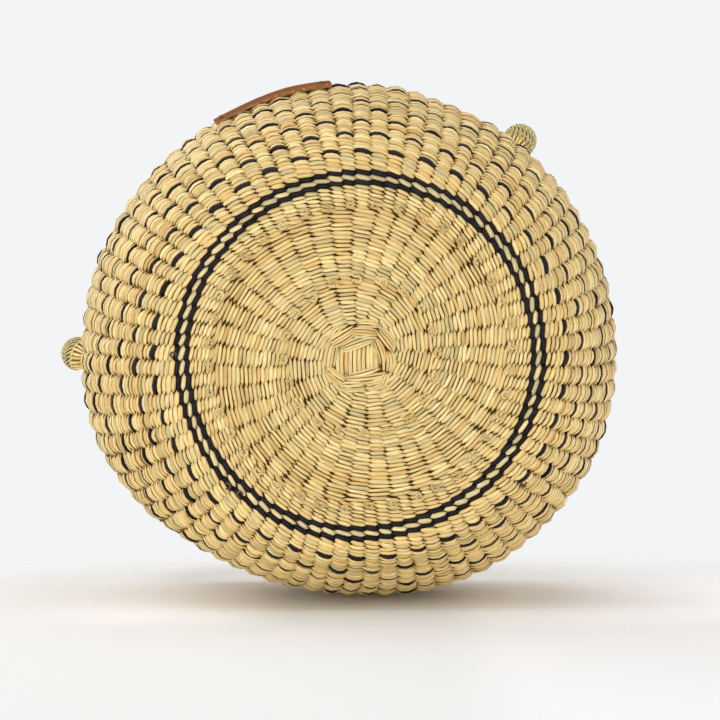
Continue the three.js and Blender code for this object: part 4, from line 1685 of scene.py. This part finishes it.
        def stalk(start: float, radius: float, turn: float, half: float, tone: np.ndarray, fan: float = 0.0
                  ) -> None:
            """One stalk from beside the bound end to where it meets the weave.

            Args:
                start: how far from the bound end's middle it starts.
                radius: how far off the hinge's line.
                turn: which way.
                half: half its width.
                tone: its colour.
                fan: how much it spreads from its neighbours on the way.
            """
            far = start + 1 * MM
            while far < 90 * MM and not self.inside_wall(at(np.array(far), radius, turn)):
                far += 0.5 * MM
            reach = np.linspace(start, far, 12)
            share = (reach - start) / (far - start)
            lean = turn + fan * share * (turn - 216 * DEGREE)
            path = at(reach, radius * (1 - 0.07 * np.sin(math.pi * share)), lean)
            out = unit(path - at(reach, 0.0, 0.0))
            taper = np.clip(0.72 + 4 * share, 0, 1)
            strands.add(path, half * taper, half * 0.94 * taper, out, tone)

        tones = iter(GOLDEN_TONES.pick(draw, 24))
        for i in range(9):
            stalk(self.neck_start, 8.15 * MM, TAU * i / 9 + draw.normal() * 0.03, 2.72 * MM, next(tones))
        for i in range(4):
            stalk(self.neck_start, 3.1 * MM, TAU * (i + 0.4) / 4, 2.7 * MM, next(tones))
        for i, start in enumerate((5.8, 4.2, 3.1, 2.7, 3.2, 4.4, 6.0)):
            stalk(start * MM, 11.3 * MM, (170.5 + 15.2 * i) * DEGREE, 1.42 * MM, next(tones), 0.25)
        name = f"{self.name}_{side_name}_root_stalks"
        mesh_piece(name, strands.mesh(name, GOLDEN_STRAW), Body.BASKET,
                   (f"{self.name}_{side_name}_root",))


def joined(name: str, meshes: Sequence[bpy.types.Mesh]) -> bpy.types.Mesh:
    """Joins meshes of one finish to one mesh and removes them.

    Args:
        name: the new mesh's name.
        meshes: the meshes, in place.

    Returns:
        The joined mesh.
    """
    holders = [placed(f"{name}_{i}", mesh) for i, mesh in enumerate(meshes)]
    with bpy.context.temp_override(active_object=holders[0], object=holders[0],
                                   selected_objects=holders, selected_editable_objects=holders):
        bpy.ops.object.join()
    mesh = holders[0].data
    bpy.data.objects.remove(holders[0])
    mesh.name = name
    return mesh


@dataclass
class LeatherLabel:
    """The bare leather label on the belly, tied at its four corners."""

    middle_azimuth: float = -91.2 * DEGREE + 2 * TAU / 80
    half_turn: float = 3 * TAU / 80
    bottom: float = 104 * MM
    height: float = 50 * MM
    stand_off: float = 0.5 * MM
    thickness: float = 3.5 * MM
    corner: float = 0.8 * MM
    tie_inset: float = 6 * MM
    edge_step: float = 3 * MM
    insets: tuple[float, ...] = (0.0, 0.5, 1.1)
    inner_inset: float = 2.5
    inner_sizes: tuple[float, ...] = (1.0, 0.85, 0.68, 0.5, 0.32, 0.14, 0.0)
    front_drop: tuple[float, float] = (0.45, 0.08)
    back_drop: tuple[float, float] = (0.4, 0.08)
    skived_from: float = 0.35

    def spot(self, side: np.ndarray, level: np.ndarray, out: np.ndarray) -> np.ndarray:
        """Points on the label from -1 to 1 each way, at a distance outside the wall.

        Args:
            side: where across it.
            level: where up it.
            out: how far outside the wall.

        Returns:
            The points.
        """
        azimuth = self.middle_azimuth + self.half_turn * side
        height = self.bottom + self.height / 2 * (1 + level)
        radius = FORM.skin(height, azimuth) + FORM.lump(height, azimuth) + out
        return np.stack([radius * np.cos(azimuth), radius * np.sin(azimuth), height], -1)

    @property
    def half_size(self) -> tuple[float, float]:
        """Half the label's width and half its height."""
        return FORM.belly_radius * self.half_turn, self.height / 2

    def skived(self, side: np.ndarray) -> np.ndarray:
        """The leather's share of its full thickness, which thins towards its left end."""
        return 1 - 0.5 * np.clip(self.skived_from - side, 0, 1)

    def edge(self) -> np.ndarray:
        """Points round the flat label, with small round corners.

        Returns:
            The points, from its middle.
        """
        wide, tall = self.half_size
        outline = []
        for quarter, (right, top) in enumerate(((1, 1), (-1, 1), (-1, -1), (1, -1))):
            for turn in (quarter + np.arange(7) / 6) * math.pi / 2:
                outline.append((right * (wide - self.corner) + self.corner * math.cos(turn),
                                top * (tall - self.corner) + self.corner * math.sin(turn)))
        outline = np.array(outline)
        made = []
        for start, end in zip(outline, np.roll(outline, -1, axis=0)):
            pieces = max(1, round(float(np.linalg.norm(end - start)) / self.edge_step))
            made.extend(start + (end - start) * step / pieces for step in range(pieces))
        return np.array(made)

    def rings(self) -> list[tuple[float, float, float]]:
        """Each ring of the hide from the front's middle to the back's: inset in mm, share and height.

        Returns:
            The rings, where the height is over the label's back.
        """
        steps = [*((inset, 1.0) for inset in self.insets),
                 *((self.inner_inset, size) for size in self.inner_sizes)]
        drops = [dict(zip(self.insets, drop)) for drop in (self.front_drop, self.back_drop)]
        front = [(inset, size, self.thickness - drops[0].get(inset, 0.0) * MM) for inset, size in steps]
        sides = [(0.0, 1.0, self.thickness * share) for share in (0.6, 0.4)]
        back = [(inset, size, drops[1].get(inset, 0.0) * MM) for inset, size in steps]
        return front[::-1] + sides + back

    def build(self) -> None:
        """Builds the leather and its ties."""
        wide, tall = self.half_size
        edge = self.edge()
        rings, cut = [], []
        for step, size, out in self.rings():
            side = (edge[:, 0] / wide * (1 - step * MM / wide) * size)[:len(edge) if size else 1]
            level = (edge[:, 1] / tall * (1 - step * MM / tall) * size)[:len(side)]
            curl = 0.5 * MM * (side * level) ** 2 + 0.25 * MM * np.sin(3.1 * side + 1.0)
            out = self.stand_off + out * self.skived(side) + np.maximum(0, curl)
            rings.append(self.spot(side, level, out))
            cut.append(np.full(len(side), 1.0 if step < 0.4 else 0.0))
        points, around = np.concatenate(rings), len(edge)
        last = len(points) - 1
        faces = [[1 + a, 1 + d, 1 + c, 1 + b] for a, b, c, d in ring_quads(len(rings) - 2, around)]
        faces.extend([0, 1 + j, 1 + (j + 1) % around] for j in range(around))
        faces.extend([last, last - around + (j + 1) % around, last - around + j] for j in range(around))
        mesh = new_mesh("leather_label_hide", points, faces, LEATHER.material, edge=np.concatenate(cut))
        mesh_piece("leather_label_hide", mesh, Body.BASKET, ("leather_label",))
        inset_side = 1 - self.tie_inset / FORM.belly_radius / self.half_turn
        inset_level = 1 - self.tie_inset / (self.height / 2)
        for level_name, level in (("lower", -inset_level), ("upper", inset_level)):
            for end_name, side in (("left", -inset_side), ("right", inset_side)):
                self.build_tie(f"{level_name}_{end_name}", np.array(side), np.array(level))

    def build_tie(self, place: str, side: np.ndarray, level: np.ndarray) -> None:
        """A waxed thread that goes through the leather and is knotted on its face.

        Args:
            place: which corner.
            side: where across the label, from -1 to 1.
            level: where up it.
        """
        strands = Strands(71)
        tone = THREAD_TONES.pick(strands.draw, 1)[0]
        face = self.stand_off + self.thickness * self.skived(side)
        middle = self.spot(side, level, face)
        out = unit(self.spot(side, level, face + 10 * MM) - middle)
        across = unit(np.cross(UP, out))
        up = np.cross(out, across)
        share = np.linspace(0, 1, 34)
        way, _ = turned(2.6 * TAU * share, across, up)
        coil = (1.4 - 0.9 * share) * MM
        path = middle + way * coil[:, None] + out * ((0.05 + 0.3 * share) * MM)[:, None]
        strands.add(path, 0.36 * MM, 0.32 * MM, out, tone, sides=6)
        shank = middle + out * np.linspace(-face + 0.4 * MM, 0.5 * MM, 6)[:, None]
        strands.add(shank, 0.75 * MM, 0.75 * MM, up, tone, sides=6)
        reach = np.linspace(-1, 1, 9)
        for angle in (35 * DEGREE, 125 * DEGREE):
            way = across * math.cos(angle) + up * math.sin(angle)
            path = middle + way * (reach * 1.7 * MM)[:, None] + out * ((0.4 - 0.3 * reach ** 2) * MM)[:, None]
            strands.add(path, 0.4 * MM, 0.4 * MM, out, tone, sides=6)
        name = f"label_thread_{place}"
        mesh_piece(name, strands.mesh(name, WAXED_THREAD), Body.BASKET, (f"label_tie_{place}",))


@dataclass(frozen=True)
class Lamp:
    """A square soft lamp that looks at the basket's middle.

    Its place is given as right, up and forward in the picture, or on the frame's own axes.
    """

    name: str
    place: tuple[float, float, float]
    size: float
    watts: float
    in_picture: bool = True


@dataclass
class Studio:
    """The plain pale setting: soft lamps, a table under the lying basket, a floor under the standing one."""

    axis_lean: tuple[float, float, float] = (-0.054, 0.077, 0.9956)
    distance: float = 1.724
    shift_right: float = 0.48 * MM
    shift_up: float = 2.55 * MM
    lens: float = 125.0
    middle: Vector = field(default_factory=lambda: Vector((0, 0, 0.12)))
    sky: Colour = (1.0, 0.99, 0.975)
    sky_strength: float = 0.66
    backdrop: Colour = linear(243, 244, 246)
    floor: Colour = (0.76, 0.765, 0.77)
    floor_radius: float = 1.3
    table: Colour = (0.79, 0.788, 0.785)
    # Painted light: the table's lighter tone beside the basket, where it thins the basket's shadow.
    table_painted_light: Colour = (0.99, 0.98, 1.0)
    table_radius: float = 1.0
    table_below: float = 177.2 * MM
    table_forward: float = 350 * MM
    lamps: tuple[Lamp, ...] = (
        Lamp("window", (-0.5, 3.0, 0.4), 3.2, 44.0),
        Lamp("front_fill", (0.1, 0.0, -3.3), 1.4, 52.0),
        Lamp("low_fill", (-1.0, -1.7, -2.0), 1.6, 12.0),
        Lamp("left_fill", (-2.6, 0.1, -0.8), 1.8, 17.0),
        Lamp("right_fill", (2.6, 0.0, -0.8), 1.8, 4.0),
        Lamp("sky_panel", (-1.2, -2.0, 3.1), 2.4, 45.0, in_picture=False),
        Lamp("back_panel", (2.6, 1.9, 2.0), 2.2, 25.0, in_picture=False),
    )

    @cached_property
    def view_axes(self) -> tuple[Vector, Vector, Vector]:
        """The picture's right, up and forward directions, seen from the basket."""
        axis = Vector(self.axis_lean).normalized()
        first = Vector((axis.z, 0, -axis.x)).normalized()
        second = axis.cross(first)
        right, up, down = Vector(KNOT_RIGHT), Vector(KNOT_UP), Vector((0, 0, 1))
        return tuple(first[i] * right + second[i] * up + axis[i] * down for i in range(3))

    def build(self) -> None:
        """Sets the camera, the lamps, the world and both surfaces."""
        right, up, forward = self.view_axes
        camera = placed("camera", bpy.data.cameras.new("camera"))
        place = -forward * self.distance - right * self.shift_right - up * self.shift_up
        turn = Matrix((right, up, -forward)).transposed()
        camera.matrix_world = Matrix.Translation(place) @ turn.to_4x4()
        camera.data.lens = self.lens
        camera.data.clip_start, camera.data.clip_end = 0.05, 50
        bpy.context.scene.camera = camera
        for lamp in self.lamps:
            self.hang(lamp)
        self.build_world()
        self.build_table()
        self.build_floor()
        bpy.context.scene.view_settings.view_transform = "Standard"

    def hang(self, lamp: Lamp) -> None:
        """Puts a lamp in its place.

        Args:
            lamp: the lamp.
        """
        data = bpy.data.lights.new(lamp.name, "AREA")
        data.size, data.energy = lamp.size, lamp.watts
        place = Vector(lamp.place)
        if lamp.in_picture:
            right, up, forward = self.view_axes
            place = right * place.x + up * place.y + forward * place.z
        made = placed(lamp.name, data)
        made.location = place
        made.rotation_mode = "QUATERNION"
        made.rotation_quaternion = (self.middle - place).to_track_quat("-Z", "Y")

    def build_world(self) -> None:
        """An even sky that lights the basket, and looks white behind it and in its shine."""
        world = bpy.data.worlds.new("studio")
        bpy.context.scene.world = world
        world.use_nodes = True
        world.node_tree.nodes.clear()
        tree = NodeTree(world.node_tree)
        path = tree.node("ShaderNodeLightPath").outputs
        light = tree.fed("ShaderNodeBackground", (*self.sky, 1), self.sky_strength)
        seen = tree.fed("ShaderNodeBackground", (*self.backdrop, 1), 1.0)
        shown = tree.maths("MAXIMUM", path["Is Camera Ray"],
                           tree.maths("MAXIMUM", path["Is Glossy Ray"], path["Is Transmission Ray"]))
        tree.node("ShaderNodeOutputWorld", {0: tree.fed("ShaderNodeMixShader", shown, light, seen)})

    def build_floor(self) -> None:
        """The floor under the standing basket, which only the camera sees."""
        tree = ShaderTree("floor")
        tree.set(Base_Color=(*self.floor, 1))
        seen = tree.node("ShaderNodeLightPath").outputs["Is Camera Ray"]
        ways = Vector((1, 0, 0)), Vector((0, 1, 0))
        self.surface(tree, Vector((0, 0, -0.6 * MM)), ways, self.floor_radius, 0.45, seen)

    def build_table(self) -> None:
        """The table under the lying basket.

        It throws light back on the basket, and shows only to a camera that looks up at the basket's base.
        Its tone is lighter beside the basket, a painted light that thins the basket's shadow there.
        """
        right, up, forward = self.view_axes
        middle = -up * self.table_below - forward * self.table_forward
        tree = ShaderTree("table")
        place = self.from_middle(tree, middle)
        to_right, to_left, behind = (
            tree.node("ShaderNodeVectorMath", {0: place, 1: tuple(way)},
                      operation="DOT_PRODUCT").outputs["Value"]
            for way in (right, -right, forward))
        # Painted light to the right and left of the basket, which thins the basket's shadow on the table.
        on_right = tree.product(tree.ramp(to_right, 0.04, 0.1, 0.0, 1.0),
                                tree.ramp(behind, 0.23, 0.37, 0.35, 1.0))
        on_left = tree.product(tree.ramp(to_left, 0.04, 0.1, 0.0, 1.0),
                               tree.ramp(behind, 0.23, 0.37, 0.0, 1.0),
                               tree.ramp(to_left, 0.12, 0.26, 1.0, 0.0))
        beside = tree.product(tree.maths("ADD", on_right, on_left), tree.ramp(behind, 0.47, 0.75, 1.0, 0.0))
        tree.set(Base_Color=tree.mix(beside, self.table, self.table_painted_light))
        self.surface(tree, middle, (-forward, right), self.table_radius, 0.62, self.meets_table(tree))

    @staticmethod
    def from_middle(tree: ShaderTree, middle: Vector) -> bpy.types.NodeSocket:
        """Where a point of a surface lies from the surface's middle."""
        return tree.vector("SUBTRACT", tree.node("ShaderNodeTexCoord").outputs["Object"], tuple(middle))

    @staticmethod
    def meets_table(tree: ShaderTree) -> bpy.types.NodeSocket:
        """Which rays meet the table: the camera's from below, and others that don't come from the floor.

        Args:
            tree: the table's material.

        Returns:
            1 for those rays.
        """
        path = tree.node("ShaderNodeLightPath").outputs
        spot = tree.node("ShaderNodeNewGeometry").outputs
        rises = tree.product(tree.split(spot["Incoming"])[2], -1.0)
        climb = tree.product(rises, path["Ray Length"])
        start = tree.maths("SUBTRACT", tree.split(spot["Position"])[2], climb)
        off_floor = tree.maths("MAXIMUM", tree.maths("GREATER_THAN", start, 1.5 * MM),
                               tree.maths("LESS_THAN", rises, 0.0))
        camera = path["Is Camera Ray"]
        to_camera = tree.product(camera, tree.ramp(rises, 0.2, 0.4, 0.0, 1.0))
        to_rest = tree.product(tree.maths("SUBTRACT", 1.0, camera), off_floor)
        return tree.product(tree.maths("SUBTRACT", 1.0, path["Is Shadow Ray"]),
                            tree.maths("ADD", to_camera, to_rest))

    def surface(self, tree: ShaderTree, middle: Vector, ways: tuple[Vector, Vector], radius: float,
                fade_from: float, seen: bpy.types.NodeSocket) -> None:
        """A round pale surface that shows from its upper side, and that fades out at its edge.

        Args:
            tree: its material.
            middle: its middle.
            ways: two directions in it, the second a quarter turn on from the first as seen from above.
            radius: how far it reaches.
            fade_from: the share of its radius where it starts to fade.
            seen: 1 for the rays that meet it.
        """
        turns = TAU * np.arange(64) / 64
        first, second = (np.array(way) for way in ways)
        points = np.array(middle) + radius * turned(turns, first, second)[0]
        reach = tree.node("ShaderNodeVectorMath", {0: self.from_middle(tree, middle)},
                          operation="LENGTH").outputs["Value"]
        fade = tree.ramp(reach, radius * fade_from, radius * 0.98, 1.0, 0.0)
        facing = tree.maths("SUBTRACT", 1.0, tree.node("ShaderNodeNewGeometry").outputs["Backfacing"])
        mix = tree.fed("ShaderNodeMixShader", tree.product(fade, facing, seen),
                       tree.node("ShaderNodeBsdfTransparent").outputs[0], tree.surface.outputs[0])
        tree.set(Roughness=0.9, Specular_IOR_Level=0.1)
        tree.feed(tree.tree.nodes["Material Output"].inputs["Surface"], mix)
        name = tree.material.name
        placed(name, new_mesh(name, points, [list(range(len(points)))], tree.material))


def corners(bounds: Iterable[Vector]) -> list[list[float]]:
    """A box's corners as plain numbers."""
    return [[float(value) for value in corner] for corner in bounds]


def main() -> None:
    """Builds every sub-assembly round the frame."""
    logging.basicConfig(level=logging.INFO, format="%(name)s: %(message)s")
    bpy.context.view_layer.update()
    Studio().build()
    Weave().build()
    StartKnot().build()
    TipCurls().build()
    RimBraid().build()
    CarryHandle("front_handle", Body.FRONT_HANDLE, -90 * DEGREE, 30.7 * MM, shift_in=2.2 * MM,
                right_lip=115 * DEGREE, finger_width=(1.2 * MM, 1.6 * MM), finger_stray=0.09, seed=61).build()
    CarryHandle("back_handle", Body.BACK_HANDLE, 90 * DEGREE, 16.2 * MM, seed=81).build()
    LeatherLabel().build()


if __name__ == "__main__":
    main()
